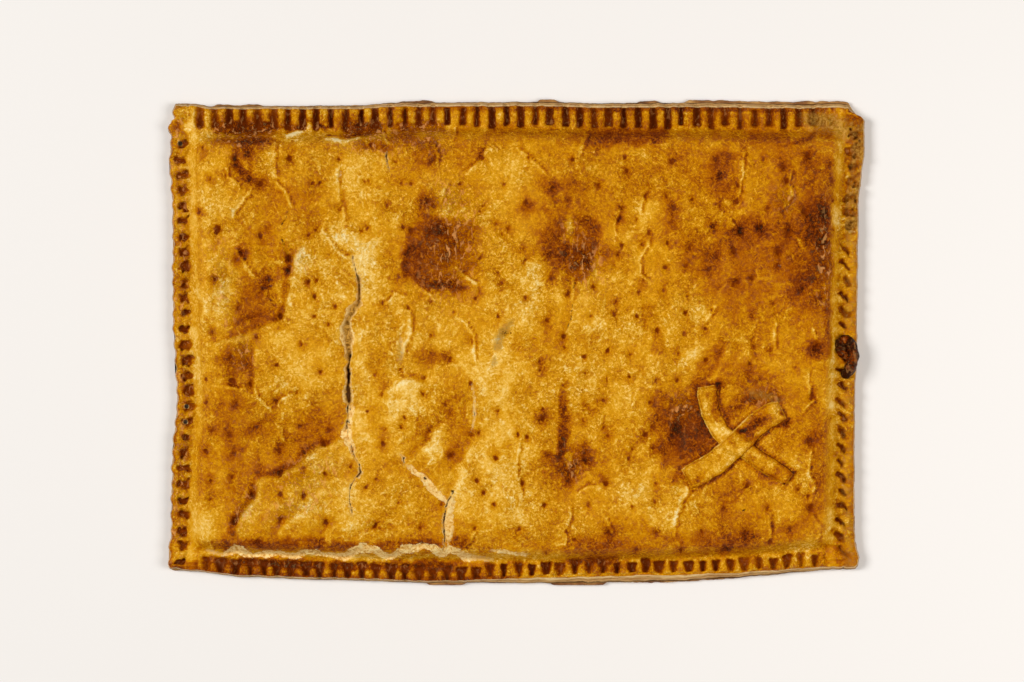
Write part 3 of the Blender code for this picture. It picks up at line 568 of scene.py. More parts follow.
# Marks of the docking roller, where they show in the photograph: x and y
PRICKS = [
    (-156, 97), (-133, 94), (-88, 91), (-152, 81), (-144, 83), (-101, 79), (-97.5, 79), (-75.5, 80),
    (-73, 80), (-158, 65), (-127, 53), (-123, 56), (-103, 54), (-99, 56), (-77, 55), (-74, 57), (-87, 67),
    (-64, 68), (-139, 41), (-123, 31), (-103, 30), (-99, 31), (-126, 27), (-100, 22.5), (-90, 18),
    (-100, 13), (-93, 9), (-138, 17), (-129, 3), (-151, 5), (-66, 19.5), (-106.5, -1), (-142, -7.5),
    (-133.5, -8), (-119, -11), (-97, -14.5), (-109, -25), (-119.5, -29), (-154, -18), (-154, -30),
    (-139, -31), (-70, -16), (-74, -34.5), (-66.5, -25.5), (-107, -41.5), (-93, -44), (-151.5, -44),
    (-130, -42), (-142, -46), (-140, -55), (-117.5, -53), (-106, -54), (-129, -65), (-105.5, -62),
    (-82, -61.5), (-141, -67), (-152, -68.5), (-152, -78), (-69.5, -68), (-74.5, -72), (-66, -50),
    (-65, -43), (-60, 90), (-41, 91), (-57, 79.5), (-52, 79), (-28, 79), (-17, 92), (6, 92), (28, 91),
    (-6, 78.5), (18.5, 77), (-44, 70), (-41, 68), (-16, 68), (-18, 65), (5, 69.5), (7, 67.5), (41, 78),
    (26, 71), (-56, 57), (-10, 59), (-7, 54), (-4, 56), (3.5, 46.5), (4.5, 40.5), (-18, 42), (-9, 34.5),
    (-7.5, 29.5), (-18, 26), (-20, 22), (-42.5, 19.5), (-53.5, 17), (-31, 15), (4.5, 22.5), (17, 31.5),
    (12, 27), (25.5, 24), (38.5, 27.5), (-9, 13), (15.5, 11), (37, 13), (-42, 3.5), (23.5, 3), (-22, 1),
    (24, -2.5), (45.5, -4), (33.5, -7), (-33, -8.5), (11.5, -9.5), (12, -13.5), (34.5, -15), (45, -18.5),
    (-45.5, -18), (-57, -14), (-22.5, -20.5), (0, -24), (23.5, -21), (-46, -25.5), (-35, -31), (-33, -35),
    (-9, -34), (13, -33), (34, -31.5), (43.5, -28.5), (33, -39), (-55.5, -37), (-57, -42), (-18.5, -44.5),
    (-43, -44), (-44.5, -48), (-22, -46), (1, -45.5), (5.5, -47), (43.5, -42.5), (45.5, -46.5), (25.5, -46),
    (-10, -57), (16, -56), (34, -50.5), (34, -55), (35, -58.5), (-19.5, -68.5), (3, -70), (44.5, -70),
    (-16, -74.5), (-58.5, -79.5), (-37, -80), (-11, -80.5), (36, -81), (14, -81), (-47.5, -92),
    (-20.5, -92), (1.5, -93), (25, -94), (46, -94), (29, -98), (15, -104.5), (54, 92), (55, 85), (77, 90),
    (99, 91), (65.5, 78), (64, 73), (74.5, 73), (87.5, 71), (78, 67), (52.5, 67), (51, 61), (60, 61),
    (77, 60), (101, 82.5), (110, 78), (109.5, 70), (101, 67.5), (98.5, 58), (111, 55), (123, 91),
    (66, 54.5), (62.5, 49), (52.5, 48.5), (49, 38), (75, 49.5), (86, 47), (99.5, 43), (108, 46), (50.5, 44),
    (74, 37), (84.5, 38), (96, 36.5), (117, 32), (63, 31), (61, 25), (73, 26), (85, 23.5), (108, 29.5),
    (49.5, 20), (48.5, 14), (60, 13), (84, 14.5), (97, 16), (128, 19), (128, 14.5), (117.5, 13), (70, 6),
    (83.5, 4.5), (94, 7), (157, 80), (158, 70.5), (158.5, 56), (156, 88.5), (132, 65), (56.5, -6),
    (94, -8.5), (80.5, -5.5), (116, -10.5), (115, -15.5), (56, -17), (69.5, -18.5), (80, -19),
    (101.5, -20.5), (66.5, -30), (67, -42), (57.5, -53), (68, -52.5), (56, -57.5), (57.5, -81.5), (69, -79),
    (69.5, -70), (114.5, -71), (125, -82.5), (103, -82), (60, -103), (69.5, -94.5), (92, -94), (82, -103),
    (114, -94.5), (104, -103), (126, -99), (136, -93), (134.5, -41), (157, -38), (145, -76.5), (118, -2),
    (126, -4), (140, -73), (158, -94), (125, 67), (139, -12), (153, -14),
]

# Pricks that opened wider or went deeper in the oven: x, y and radius. Round each lies a brown halo,
# HALO times as wide.
WIDE_PRICKS = [
    (-139.5, 92.5, 1.5), (-112.5, 91.5, 1.7), (-127, 79, 1.7), (-148.5, 56, 2.4), (-136.5, 44, 1.5),
    (-149.5, 31.5, 1.7), (-113, 42, 1.6), (-113, 36, 1.3), (-117, 13, 1.9), (-141, -19, 1.8),
    (-132, -21, 1.3), (-154, -54, 1.5), (-95.5, -50.5, 1.7), (-117.5, -65, 1.6), (-95, -65, 1.4),
    (-131, -76, 1.6), (-117, -75, 1.4), (-105.5, -76, 1.5), (-140, -89, 1.9), (-117, -88, 1.6),
    (-94.5, -89, 1.5), (-70, -91, 1.6), (-128, -99, 1.3), (-52, 56, 1.6), (-32.5, -56, 1.6), (13, -38, 1.4),
    (134, 80, 1.6), (133, 87, 1.5), (145, 93, 1.6), (135.5, 55, 2), (130, 45, 1.7), (130, 38, 1.3),
    (110, 30, 1.4), (141, 31, 1.5), (142, 27.5, 1.3), (143.5, 65, 1.8), (153.5, 64, 1.7), (121, 57, 1.3),
    (64, -46, 1.4), (78.5, -43, 1.5), (147, -27, 1.7), (145.5, -49, 1.6), (146, -82.5, 1.7), (149, -3, 1.7),
]
HALO = 2.3

# Patches of the crust, from left to right: middle x, y, half length, half width, how much browner in
# hundredths, which is below zero where the dough stayed paler, and the turn (degrees) if there is one.
# GOLDEN is how brown the crust is between them.
BROWNING = [
    (-171, 108, 3, 4, 20), (-165, 113, 5, 4, 8), (-163, 113, 7, 6, -24), (-160, -20, 4, 16, -12),
    (-158, 65, 2.2, 2.6, 20), (-156, 104, 5, 8, -14), (-155, -88, 4, 14, -16), (-153, -74, 4, 6, 6),
    (-152, -30, 4, 8, -10), (-152, 37, 4, 4, 12), (-152, 81, 4, 3, 18), (-151, 31, 4, 3, 16),
    (-151, 68, 6, 14, -12), (-150, 20, 8, 18, -16, 5), (-149, 55, 9, 5, -12), (-149, 56, 3, 4, 14),
    (-148, -38, 6, 8, 10), (-146, -60, 8, 4, 10), (-145, 107, 6, 5, 8), (-143, -8, 4, 4, 8),
    (-141, -38, 9, 18, 16), (-141, -9, 8, 8, 18), (-140, -97, 6, 5, 18), (-140, -21, 9, 4, -12),
    (-138, -74, 8, 13, 10, 10), (-138, 102.5, 18, 2.2, -16), (-137, 43, 4.5, 4.5, 24),
    (-135, -92, 6, 5, 12), (-134, 12, 13, 3, 18, 18), (-134, 88, 6, 5, 22), (-134, 100.5, 15, 1.8, 20),
    (-133, -88, 4, 10, -18, -20), (-133, 94, 5, 3, -10), (-130, 22, 8, 11, 26), (-130, 97, 10, 4, 24),
    (-130, 106, 10, 5, 28), (-126, -26, 4, 4, -18), (-126, 79, 4, 3, 6), (-125, -42, 9, 6, 28, 20),
    (-124, 40, 14, 10, 5), (-124, 62, 12, 20, 10), (-120, 75, 2.5, 5, 14), (-119, 4, 10, 4, -18, 20),
    (-118, -57, 18, 8, 18, 28), (-118, 96, 3, 8, -14), (-115, 42, 6, 6, 8), (-114, -42, 8, 6, -14),
    (-113, 25, 3, 5, 16), (-110, -74, 13, 6, -10, 20), (-108, -66, 8, 5, 16, 20), (-108, -12, 16, 13, -16),
    (-106.5, 40, 4.5, 8, -26), (-106, -100.5, 48, 2.8, 42), (-106, 11, 6, 6, -12),
    (-105, -84, 9, 4, -16, 20), (-105, 111, 52, 3, 8), (-104, 18, 9, 9, -10), (-104, 70, 14, 8, 14),
    (-103, -42, 18, 7, 14, 18), (-102, 57, 9, 5, 12), (-100, -110, 60, 3, 26), (-100, -38, 12, 7, 6),
    (-100, 99, 14, 2.5, 12), (-98, -61, 8, 5, -14, 28), (-96, 1, 7, 4, 10), (-96, 2, 6, 4, 10),
    (-93, 15, 8, 22, -12), (-89, 53, 8, 5, -20), (-88, 108, 10, 3, 16), (-82, 84, 8, 9, -14),
    (-80, -80, 7, 14, -16), (-78, -38, 5, 12, -16), (-76, -108, 16, 2.5, -22), (-76, -26, 6, 8, -10),
    (-75, -6, 6, 14, -14), (-75, 44, 7, 9, -22), (-75, 105, 5, 5, 12), (-74, 30, 4, 10, -8),
    (-72, -95, 4, 4, -14), (-70, 97, 9, 3, 34), (-69, -12, 4, 8, 12), (-68, 95, 5, 3, 14),
    (-64, -20, 3, 8, 10), (-64, 46, 5, 7, 6), (-59, 31, 5, 3, 20), (-58, -74, 7, 10, -14),
    (-58, -14, 7, 4, -18), (-56, -43, 7, 6, -14), (-56, 102, 7, 4, 28), (-55, -29, 9, 9, -26),
    (-52, -28, 6, 3, 10), (-51.5, 40, 5, 8, 32), (-48, -98.5, 11, 2.4, 36), (-48, -40, 6, 4, 4),
    (-48, 65, 4, 5, 14), (-45, 37, 5, 4, 12), (-44, 67, 6, 7, 24), (-44, 95, 8, 7, 22), (-43, -84, 9, 9, 6),
    (-43, 47, 12, 10, 46), (-42, -7, 9, 4, 24), (-42, 23, 8, 2.5, 14), (-42, 108, 10, 4, -12),
    (-41, -53, 5, 6, -24), (-41, 58, 7, 5, 46), (-40, -107, 70, 2, -12), (-40, 63, 4, 4, -22),
    (-38, 30, 14, 4.5, 40, -6), (-37, 95, 3, 6, -12), (-33, -16, 8, 8, -10), (-31, 40, 4, 6, -16),
    (-30, -46, 6, 12, 16), (-30, -24, 6, 7, 16), (-30, 55, 4, 5, 12), (-28, 46, 9, 14, 22),
    (-27, -98.5, 5, 2.8, 34), (-27, -74, 4, 12, -6), (-26, -95, 6, 7, 12), (-25, -110, 30, 2.5, 20),
    (-24, 100, 9, 9, 18), (-22, 56, 4, 4, 16), (-20, 30, 12, 5, -10), (-14, -109, 10, 3, -12),
    (-12, -101, 12, 3, 2), (-12, -18, 13, 18, -20), (-12, 12, 5, 4, 10), (-11, -26, 4, 8, 10),
    (-10, -66, 17, 22, -16), (-10, 118, 60, 2, 12), (-9, 18, 9, 7, -14), (-6, 86, 10, 8, -10),
    (0, 104, 16, 5, 22), (6, -46, 7, 10, -12), (6, 66, 3.5, 4, 16), (6, 73, 4, 4, -14), (7, 14, 6, 10, -10),
    (8, -88, 8, 9, -12), (8, -50, 8, 10, -8), (8, 34, 9, 8, -10), (10, 30, 4, 7, -14),
    (10, 76, 6, 14, 14, -30), (12, -70, 12, 5, 8), (13, -37, 4, 4, 16), (13, -12, 3, 6, 16),
    (14, 50, 10, 16, 12), (15, 46, 4, 3, -16), (17, 31, 3, 5, 14), (17, 86, 5, 5, -14), (18, 76, 4, 5, 10),
    (19, -62, 8, 8, 22), (19, 51, 7, 10, 34), (20, -3, 6, 5, 10), (23.5, -42, 2.6, 17, 32),
    (24, 69, 11, 9, 16), (25.5, 56, 2, 5, -30, -15), (26, -96, 5, 6, -16), (26, -67, 5, 5, 28),
    (26, 42, 9, 6, 40), (26.5, -60, 1.5, 5, -46, 10), (30, -100, 26, 4, 8), (30, 13, 12, 9, -12),
    (31, -56, 9, 6, 40), (32, 36, 7, 5, 34, 40), (32, 53, 4, 6, 12), (33, 32, 3, 3, 14),
    (34, -14, 8, 8, -12), (34.5, 53, 6, 10, 34), (36, -68, 9, 4, 14, 20), (38, -76, 5, 4, 14),
    (38, -36, 6, 10, 4), (38, 102, 12, 6, 24), (40, -104, 13, 6, 26), (42, 50, 6, 8, 4), (43, 94, 7, 5, 14),
    (45, -62, 7, 4, 10, 20), (45, 43, 3, 8, 18), (45, 70, 22, 10, 10), (48, 44, 5, 5, 18),
    (49, 14, 4, 6, 10), (50, -113, 34, 3, 18), (52, -26, 8, 14, -6), (55, -93, 12, 7, 20),
    (55, 37, 4, 4, 12), (55, 92, 12, 5, -10), (56, -42, 8, 8, 8), (58, 103.5, 16, 4.5, 32),
    (62, -104, 9, 3, 14), (62, -80, 13, 7, -6), (62, -72, 7, 6, -8), (62, 40, 10, 14, 8),
    (65, -4, 6, 4, 14), (65, 64, 6, 10, -12), (66, 14, 4, 4.5, 18), (68, 22, 10, 8, 8), (70, 8, 4, 4, -14),
    (71, -1, 3.5, 6, 16), (72, -31, 4, 9, 24), (72, 55, 8, 7, 13), (72, 101, 5, 4, 12), (75, -52, 4, 5, 20),
    (76, -88, 10, 7, -10), (76, -48, 7, 14, 26), (78, 18, 7, 5, -4), (78, 64, 4, 7, 18),
    (80, -65, 2.5, 4, 26), (83, -30, 7, 6, 24, 40), (86, -8, 8, 6, -12), (86, 20, 4, 6, -12),
    (87, -45, 11, 13, 46), (90, -72, 7, 4, -16, 15), (90, 50, 11, 14, 16), (90, 118, 60, 2, 12),
    (92, -36, 5, 12, 20, 10), (92, 88, 14, 16, 16), (93, -21, 7, 3, 18), (93, 27, 4, 3, 12),
    (94, 14, 6, 5, -14), (95, -6, 4, 6, -12), (95.5, -10, 4.5, 11, 18, -28), (98, 61, 3.5, 3.5, -18),
    (99, 32, 3, 5, 16), (100, -98, 22, 4, 24), (102, -74, 9, 7, 16), (104, -103.5, 26, 2.6, 10),
    (104, 75, 7, 4, 14), (104, 87, 8, 8, 20), (104, 104, 6, 4, 10), (106, -89, 9, 6, 16),
    (106, 12, 6, 4, 10), (110, -33, 9, 5, 26, 35), (112, -16, 12, 7, 18), (114, 22, 12, 7, 12),
    (117, -35, 4, 3, -18), (117, 56, 10, 5, 22), (118, -1, 8, 3, -12), (120, -37, 7, 3, -12),
    (124, -26, 8, 4, 32), (125, 95, 12, 14, 12), (126, 42, 26, 18, 20), (127, -97, 7, 4, -14),
    (128, -70, 5, 3, -14), (128, -66, 12, 5, 12, 30), (128, 74, 5, 8, 14), (130, -52, 5, 4, 16),
    (131, -79, 6, 8, -14), (132, -96, 9, 5, 14), (135, -104, 18, 5, -18), (136, -61, 5, 4, -16, -30),
    (140, -44, 10, 12, 12), (140, 93, 12, 7, 5), (141, 26, 9, 14, 18), (142, 31, 4, 4, -12),
    (144, -8, 4, 5, 16), (145, -90, 5, 5, 14), (146, -72, 3, 7, -14), (147, -84, 5, 5, 6),
    (147, 70, 4, 4, 14), (148, 17, 5, 4, 14), (149, -3, 7, 4.5, 28), (150, -48, 5, 5, 10),
    (150, 59, 7, 12, 46), (151, 92, 5, 5, -10), (152, -60, 6, 24, 18), (152, 82, 8, 12, 22, 10),
    (152.5, 38, 5.5, 14, 36), (153, -14, 4, 4, -8), (153, 106, 5, 3, 14), (156, 10, 2.2, 16, 36),
    (157, -5, 4, 5, -14), (158, -106, 10, 7, 30), (159, 66, 4, 12, -16), (160, 112, 10, 8, 4),
    (164.5, -5, 3.5, 7, 40), (165, 114, 3, 3, 20), (168, 92, 3, 14, 20),
]
GOLDEN = 0.445

# Where the egg lay thick and blistered, and the colour gets painted glints: middle x, y, half length, half
# width and turn
BLISTERS = [
    (-32, 46, 12, 24, -10), (-34, 72, 9, 9, 0), (-140, 103, 14, 7, 0), (-70, 102, 20, 8, 0),
    (-42, 103, 8, 8, 0), (-103, -66, 18, 9, 28), (-108, -80, 14, 7, 20), (-133, -82, 6, 12, -30),
    (-146, 28, 6, 22, 5), (-107, 40, 5, 9, 0), (-136, -4, 7, 8, 0), (154, 40, 5, 24, 0),
    (34, 40, 8, 14, 20), (27, 55, 4, 8, 0), (27, -60, 5, 9, 0), (134, 72, 5, 7, 0), (123, -27, 8, 4, 0),
    (82, -34, 6, 8, 0),
]

# How deep the tines went in, the spacing of the lid's grid, and the band at the edge where it is finer
TINE_DEPTH = 2.3 * MM
LID_PITCH = 1.32 * MM
EDGE_BAND = 13.5 * MM

# Rings of the lid's cut edge: how far below the crust, how far inwards and the share of the way down,
# which the material reads
LID_WALL = [(0.35, -0.05, 0.18), (1.0, 0.15, 0.36), (1.7, 0.0, 0.55), (2.5, 0.2, 0.76), (3.3, 0.1, 1.0)]

# How round a fork mark's corners are, how brown marks and pricks get, and how pale the ridges between
# the marks are on each side
MARK_ROUND = 1.1
MARK_TONE = 0.86
PRICK_TONE = 0.82
RIDGE_PALENESS = {"top": 0.03, "bottom": 0.05, "left": 0.10, "right": 0.05}

# Where the fork also pressed the crust down between the marks' inner ends, and it browned there: side,
# from and to along the side, and how far in from the edge it begins and ends
MERGED = [
    ("top", -154, -117, 7.5, 15.8), ("top", -120, -90, 9, 13), ("top", -89, -63, 9, 17.5),
    ("top", -62, -34, 9.5, 16.5), ("bottom", -156, -94, 4.8, 10.5), ("bottom", -94, -28, 4.8, 10.5),
    ("bottom", 24, 54, 9, 14),
]

# How far a painted edge fades to each side of it, so that the material can draw it sharp
FADE = 0.9 * MM


def sides(x, y):
    """Distance inwards from each of the four edges of the lid."""
    return {
        "top": WIDTH / 2 - inset("top", x) - y,
        "bottom": WIDTH / 2 - inset("bottom", x) + y,
        "left": LENGTH / 2 - inset("left", y) + x,
        "right": LENGTH / 2 - inset("right", y) - x,
    }


def blob(x, y, middle_x, middle_y, half_long, half_wide, turn=0):
    """A soft oval spot, 1 in its middle."""
    c, s = math.cos(math.radians(turn)), math.sin(math.radians(turn))
    dx, dy = x - middle_x * MM, y - middle_y * MM
    along = (dx * c + dy * s) / (half_long * MM)
    across = (dy * c - dx * s) / (half_wide * MM)
    return np.exp(-(along**2) - across**2)


def length_of(points):
    """Length of a line of points, in the points' own unit."""
    return sum(math.dist(a, b) for a, b in zip(points, points[1:]))


def beside(x, y, points):
    """Distance from a line of points, the offset to its left, and the share of the way along it."""
    nearest = np.full(x.shape, 1.0)
    offset, share = np.zeros(x.shape), np.zeros(x.shape)
    runs = [math.hypot(b[0] - a[0], b[1] - a[1]) * MM for a, b in zip(points, points[1:])]
    done = 0.0
    for (ax, ay), (bx, by), run in zip(points, points[1:], runs):
        dx, dy = (bx - ax) * MM, (by - ay) * MM
        px, py = x - ax * MM, y - ay * MM
        along = np.clip((px * dx + py * dy) / run**2, 0, 1)
        far = np.hypot(px - along * dx, py - along * dy)
        closer = far < nearest
        nearest = np.where(closer, far, nearest)
        offset = np.where(closer, (dx * py - dy * px) / run, offset)
        share = np.where(closer, (done + along * run) / sum(runs), share)
        done += run
    return nearest, offset, share


def tapered(share, length=0.1, start=0.0):
    """1 along a line, easing off over that share of it towards both its ends."""
    return step(share / length + start) * step((1 - share) / length + start)


def nearest_of(inside):
    """Distance inwards from whichever edge is nearest."""
    return np.minimum.reduce(list(inside.values()))


def edge_of(inwards):
    """Painted value that is 0.5 on an edge, from how far inside it a point lies."""
    return np.clip(0.5 + inwards / (2 * FADE), 0, 1)


def lid_form(x, y):
    """Height of the lid's upper surface, as the solid has it, without marks, splits and blisters."""
    inside = sides(x, y)
    body = np.ones(x.shape)
    for name, distance in inside.items():
        steep = step((distance - RIM[name]) / SLOPE[name])
        gentle = 1 - (1 - np.clip((distance - RIM[name]) / SHOULDER_WIDTH, 0, 1)) ** 2
        body *= steep * (1 - SHOULDER_SHARE) + gentle * SHOULDER_SHARE
    lip = 0.5 * MM * (1 - step(nearest_of(inside) / (2.5 * MM)))
    forms = CROWN * np.cos(math.pi * x / LENGTH) * np.cos(math.pi * y / WIDTH)
    lumps = [noise.noise(Vector((a / LUMP_SIZE, b / LUMP_SIZE, 3.7))) for a, b in zip(x, y)]
    forms = forms + LUMP_HEIGHT * np.array(lumps)
    for cx, cy, long, wide, turn, height in FORMS:
        forms = forms + height * MM * blob(x, y, cx, cy, long, wide, turn)
    for points, drop, reach, width, tone in LEDGES:
        far, offset, share = beside(x, y, points)
        low = step(offset / (width * MM) + 0.5)
        forms = forms - drop * MM * 1.3 * low * bell(far / (reach * MM))
    return RIM_TOP - lip + body * (BODY_HEIGHT - RIM_TOP + forms)


def pricks():
    """Each docking mark: x, y, radius and how strongly it shows."""
    found = [(x * MM, y * MM, 0.85 * radius * MM, 1.0) for x, y, radius in WIDE_PRICKS]
    for i, (x, y) in enumerate(PRICKS):
        draw = TABLE[i % 256, 77]
        found.append((x * MM, y * MM, (0.80 + 0.45 * draw) * MM, 0.7 + 0.3 * TABLE[i % 256, 78]))
    return found


def along_side(values, at):
    """A value given at places along a side (mm), eased between them."""
    return np.interp(np.asarray(at) / MM, [v[0] for v in values], [v[1] for v in values]) * MM


def tine_marks(x, y, inside):
    """How far inside a fork mark each point lies (mm), how strong that mark is, and how much of a
    ridge between marks, of its paleness and of the crust pressed down at the marks' ends is there."""
    within, depths = np.full(x.shape, -9.0), np.ones(x.shape)
    ridge, pale = np.zeros(x.shape), np.zeros(x.shape)
    stray = [
        0.7 * uneven(x, y, 4.5 * MM, seed, 2) + 0.5 * uneven(x, y, 1.8 * MM, seed + 2) for seed in (41, 42)
    ]
    for side, count, first, pitch, outer, length, width, turn, ragged, column in CRIMPS.values():
        flat_side = side in ("top", "bottom")
        place = x if flat_side else y
        at = place / MM
        i = np.clip(np.round((at - first) / pitch), 0, count - 1)
        draw = [TABLE[i.astype(int) + 3, column + k] - 0.5 for k in range(5)]

        # Place across (u) and along (v) the nearest mark, each mark moved and turned a little
        u = at - first - i * pitch - 0.8 * draw[0] + ragged * stray[0]
        edge = along_side(SLANT[side], place) / MM
        v = inside[side] / MM - edge - outer - length / 2 - 1.2 * draw[1] + 1.2 * ragged * stray[1]
        c, s = math.cos(math.radians(turn)), math.sin(math.radians(turn))
        u, v = u * c + v * s, v * c - u * s

        # How far inside its rounded outline, which is wider towards the filling
        lengthwise = np.clip(v / length, -0.5, 0.5)
        half_wide, half_long = width / 2 * (1 + 0.5 * draw[2]), length / 2 * (1 + 0.3 * draw[3])
        half_wide = half_wide * (1 + 0.15 * lengthwise)
        if side == "bottom":
            half_wide = half_wide * (0.75 + 0.55 * (lengthwise + 0.5) ** 2)
        a, b = np.abs(u) - half_wide + MARK_ROUND, np.abs(v) - half_long + MARK_ROUND
        depth = MARK_ROUND - np.minimum(np.maximum(a, b), 0) - np.hypot(np.maximum(a, 0), np.maximum(b, 0))
        depth = depth * (1 + 0.8 * draw[4])
        strong = 1 + 0.3 * draw[4] + 0.4 * lengthwise * flat_side
        depths = np.where(depth > within, strong, depths)
        within = np.maximum(within, depth)

        # The ridges between the marks
        band = step((length / 2 + 1.0 - np.abs(v)) / 2.0)
        band = band * (at > first - 4) * (at < first + count * pitch - 3)
        between = band * np.clip(0.5 - depth / 1.6, 0, 1)
        ridge = np.maximum(ridge, between)
        pale = np.maximum(pale, between * RIDGE_PALENESS[side])
    merged = np.zeros(x.shape)
    for side, start, end, near, far in MERGED:
        at = x / MM + 2 * stray[1]
        inwards = inside[side] / MM + 1.2 * stray[0]
        run = step((at - start) / 4) * step((end - at) / 4)
        merged = np.maximum(merged, run * step((inwards - near) / 1.6) * step((far - inwards) / 2.6))
    return within, depths, ridge * (1 - merged), pale, merged


def lid_sheet():
    """A fine grid over the lid, finer still at the rim, the splits, the veins and the pricks."""
    columns, rows = round(LENGTH / LID_PITCH), round(WIDTH / LID_PITCH)
    bm = bmesh.new()
    bmesh.ops.create_grid(bm, x_segments=columns, y_segments=rows, size=0.5)
    flat = np.array([vert.co for vert in bm.verts])
    x, y = on_sheet((flat[:, 0] + 0.5) * LENGTH, (flat[:, 1] + 0.5) * WIDTH)
    wanted = nearest_of(sides(x, y)) < EDGE_BAND
    for points, width, *rest in SPLITS:
        wanted |= beside(x, y, points)[0] < (width / 2 + 1.3) * MM
    for points, *rest in VEINS:
        wanted |= beside(x, y, points)[0] < 1.5 * MM
    for a, b, radius, strength in pricks():
        wanted |= np.hypot(x - a, y - b) < radius + 0.9 * MM
    for vert, a, b, fine in zip(bm.verts, x, y, wanted):
        vert.co = (a, b, 0)
        vert.tag = bool(fine)
    chosen = [edge for edge in bm.edges if edge.verts[0].tag and edge.verts[1].tag]
    bmesh.ops.subdivide_edges(bm, edges=chosen, cuts=1, use_grid_fill=True)
    return bm


def ragged_edge(x, y, inside):
    """Plan place of the sheet's edge, moved a little so that it is torn and uneven, most at the corners."""
    ends = np.maximum(
        np.minimum(inside["left"], inside["right"]), np.minimum(inside["top"], inside["bottom"])
    )
    amount = (0.45 + 1.7 * step(1 - ends / (16 * MM))) * MM * step(1 - nearest_of(inside) / (6 * MM))
    side, count, first, pitch, *rest = CRIMPS["left"]
    wave = np.cos(2 * math.pi * (y / MM - first) / pitch)
    scallop = 0.4 * MM * wave * step(1 - inside["left"] / (5 * MM))
    across = uneven(x, y, 5 * MM, 35, 3) * amount - scallop
    along = uneven(x, y, 5 * MM, 36, 3) * amount
    return x + across, y + along


def slant_in(x, y, inside):
    """Plan place of the lid's upper edge, moved inwards so that the cut edge slants."""
    along = {"top": x, "bottom": x, "left": y, "right": y}
    move = {}
    for name, distance in inside.items():
        move[name] = along_side(SLANT[name], along[name]) * step(1 - distance / SLANT_REACH)
    return x + move["left"] - move["right"], y - move["top"] + move["bottom"]


def cracks(x, y, height, paint_on):
    """Opens the splits in the surface, and notes their torn dough and the painted shade at their bottoms.
    """
    ragged = uneven(x, y, 2.2 * MM, 12, 2) * 0.7 * MM + uneven(x, y, 7 * MM, 13) * 0.6 * MM

    def note(kind, values):
        paint_on[kind] = np.maximum(paint_on[kind], values)

    for points, width, depth, paleness, darkness in SPLITS:
        far, offset, share = beside(x, y, points)
        ends = tapered(share)
        swelling = 1 + 0.4 * uneven(share * length_of(points), width, 9, 14)
        half = width / 2 * MM * (0.45 + 0.55 * ends) * swelling
        off = np.abs(offset + ragged * min(width, 1.6) * 0.6) + np.maximum(far - np.abs(offset), 0)
        groove = step((half - off) / (0.8 * half) + 0.4) * (0.4 + 0.6 * ends)
        lips = bell((off - 1.5 * half) / half) * ends * np.clip(depth, 0, 1)
        height = height - depth * MM * groove + 0.35 * MM * lips
        if paleness > 0:
            note("torn", edge_of(1.15 * half - off))
            note("raw", paleness * (off < half + 1.6 * MM) * (0.35 + 0.65 * ends))
        note("deep", edge_of(0.75 * half - off) * np.clip(depth / 2, 0, 1) ** 2)
        if darkness > 0:
            note("split_shade", edge_of(darkness * half * ends - off - 0.1 * MM))
    return height


def lined(x, y, paint_on):
    """What the ledges, veins, bruises and folds add to the lid's height and tone: browner and paler crust,
    painted shade beside the veins and in the folds, and a painted highlight on the ledges' crests.
    """
    height, shade = np.zeros(x.shape), np.zeros(x.shape)
    for points, drop, reach, width, tone in LEDGES:
        far, offset, share = beside(x, y, points)
        stray = offset + 1.0 * MM * uneven(x, y, 5 * MM, 15, 2)
        nearby = bell(far / (5 * MM)) * tapered(share, 0.1, 0.2)
        crest, foot = bell((stray + 1.0 * MM) / (1.7 * MM)), bell((stray - 2.2 * MM) / (2.0 * MM))
        # A painted highlight on the crest, and browner crust at the foot
        shade = shade + tone * nearby * (foot - crest)
    for points, width, rise, paleness in VEINS:
        far, offset, share = beside(x, y, points)
        stray = offset + 0.8 * MM * uneven(x, y, 3.5 * MM, 17, 2)
        ends = tapered(share) * (far < 6 * MM)
        line = bell(stray / (width * MM * 0.6)) * ends * (1 + 0.5 * uneven(x, y, 4 * MM, 18))
        height = height + 1.3 * rise * MM * line
        # Painted shadow in a band on the vein's left side
        shaded_side = ends * bell((stray - 1.05 * width * MM) / (width * MM * 0.5))
        shade = shade - 0.95 * paleness * line + 0.27 * shaded_side
    for points, width, strength in BRUISES:
        far, offset, share = beside(x, y, points)
        stray = far + 1.5 * MM * uneven(x, y, 4 * MM, 44, 2)
        paint_on["deep"] = np.maximum(paint_on["deep"], strength * bell(stray / (width * MM * 0.6)))
    for points, width, depth, tone in FOLDS:
        far, offset, share = beside(x, y, points)
        stray = far + 0.8 * MM * uneven(x, y, 3.5 * MM, 43, 2)
        line = bell(stray / (width * MM * 0.6)) * tapered(share, 0.2, 0.3)
        height = height - depth * MM * line
        # Browner crust and painted shade in the valley
        shade = shade + tone * line
    return height, shade


def crackle(x, y, blister_and_glints, bodied):
    """The lid's small lumps, web of ridges and creases: their height, and their tone: painted shade in the
    creases, paler crust on the ridges and the web.
    """
    height = bodied * MM * (0.80 * uneven(x, y, 12 * MM, 8, 2) + 0.50 * uneven(x, y * 0.85, 5 * MM, 9, 2))
    web = bell(uneven(x, y * 0.85, 9 * MM, 47, 2) / 0.08) * step(uneven(x, y, 18 * MM, 45) * 2.5 + 0.5)
    winding, where = uneven(x, y, 20 * MM, 19, 2), step(uneven(x, y, 34 * MM, 20) * 3 + 0.4)
    crease, crest = bell(winding / 0.05) * where, bell((winding - 0.07) / 0.04) * where
    height = height + MM * bodied * (0.5 * web + 0.25 * crest - 0.45 * crease)
    height = height + MM * (0.16 + 0.5 * blister_and_glints * bodied) * np.abs(uneven(x, y, 2.6 * MM, 10, 2))
    # Painted shade darkens the creases
    return height, (0.10 * crease - 0.10 * crest - 0.08 * web) * bodied


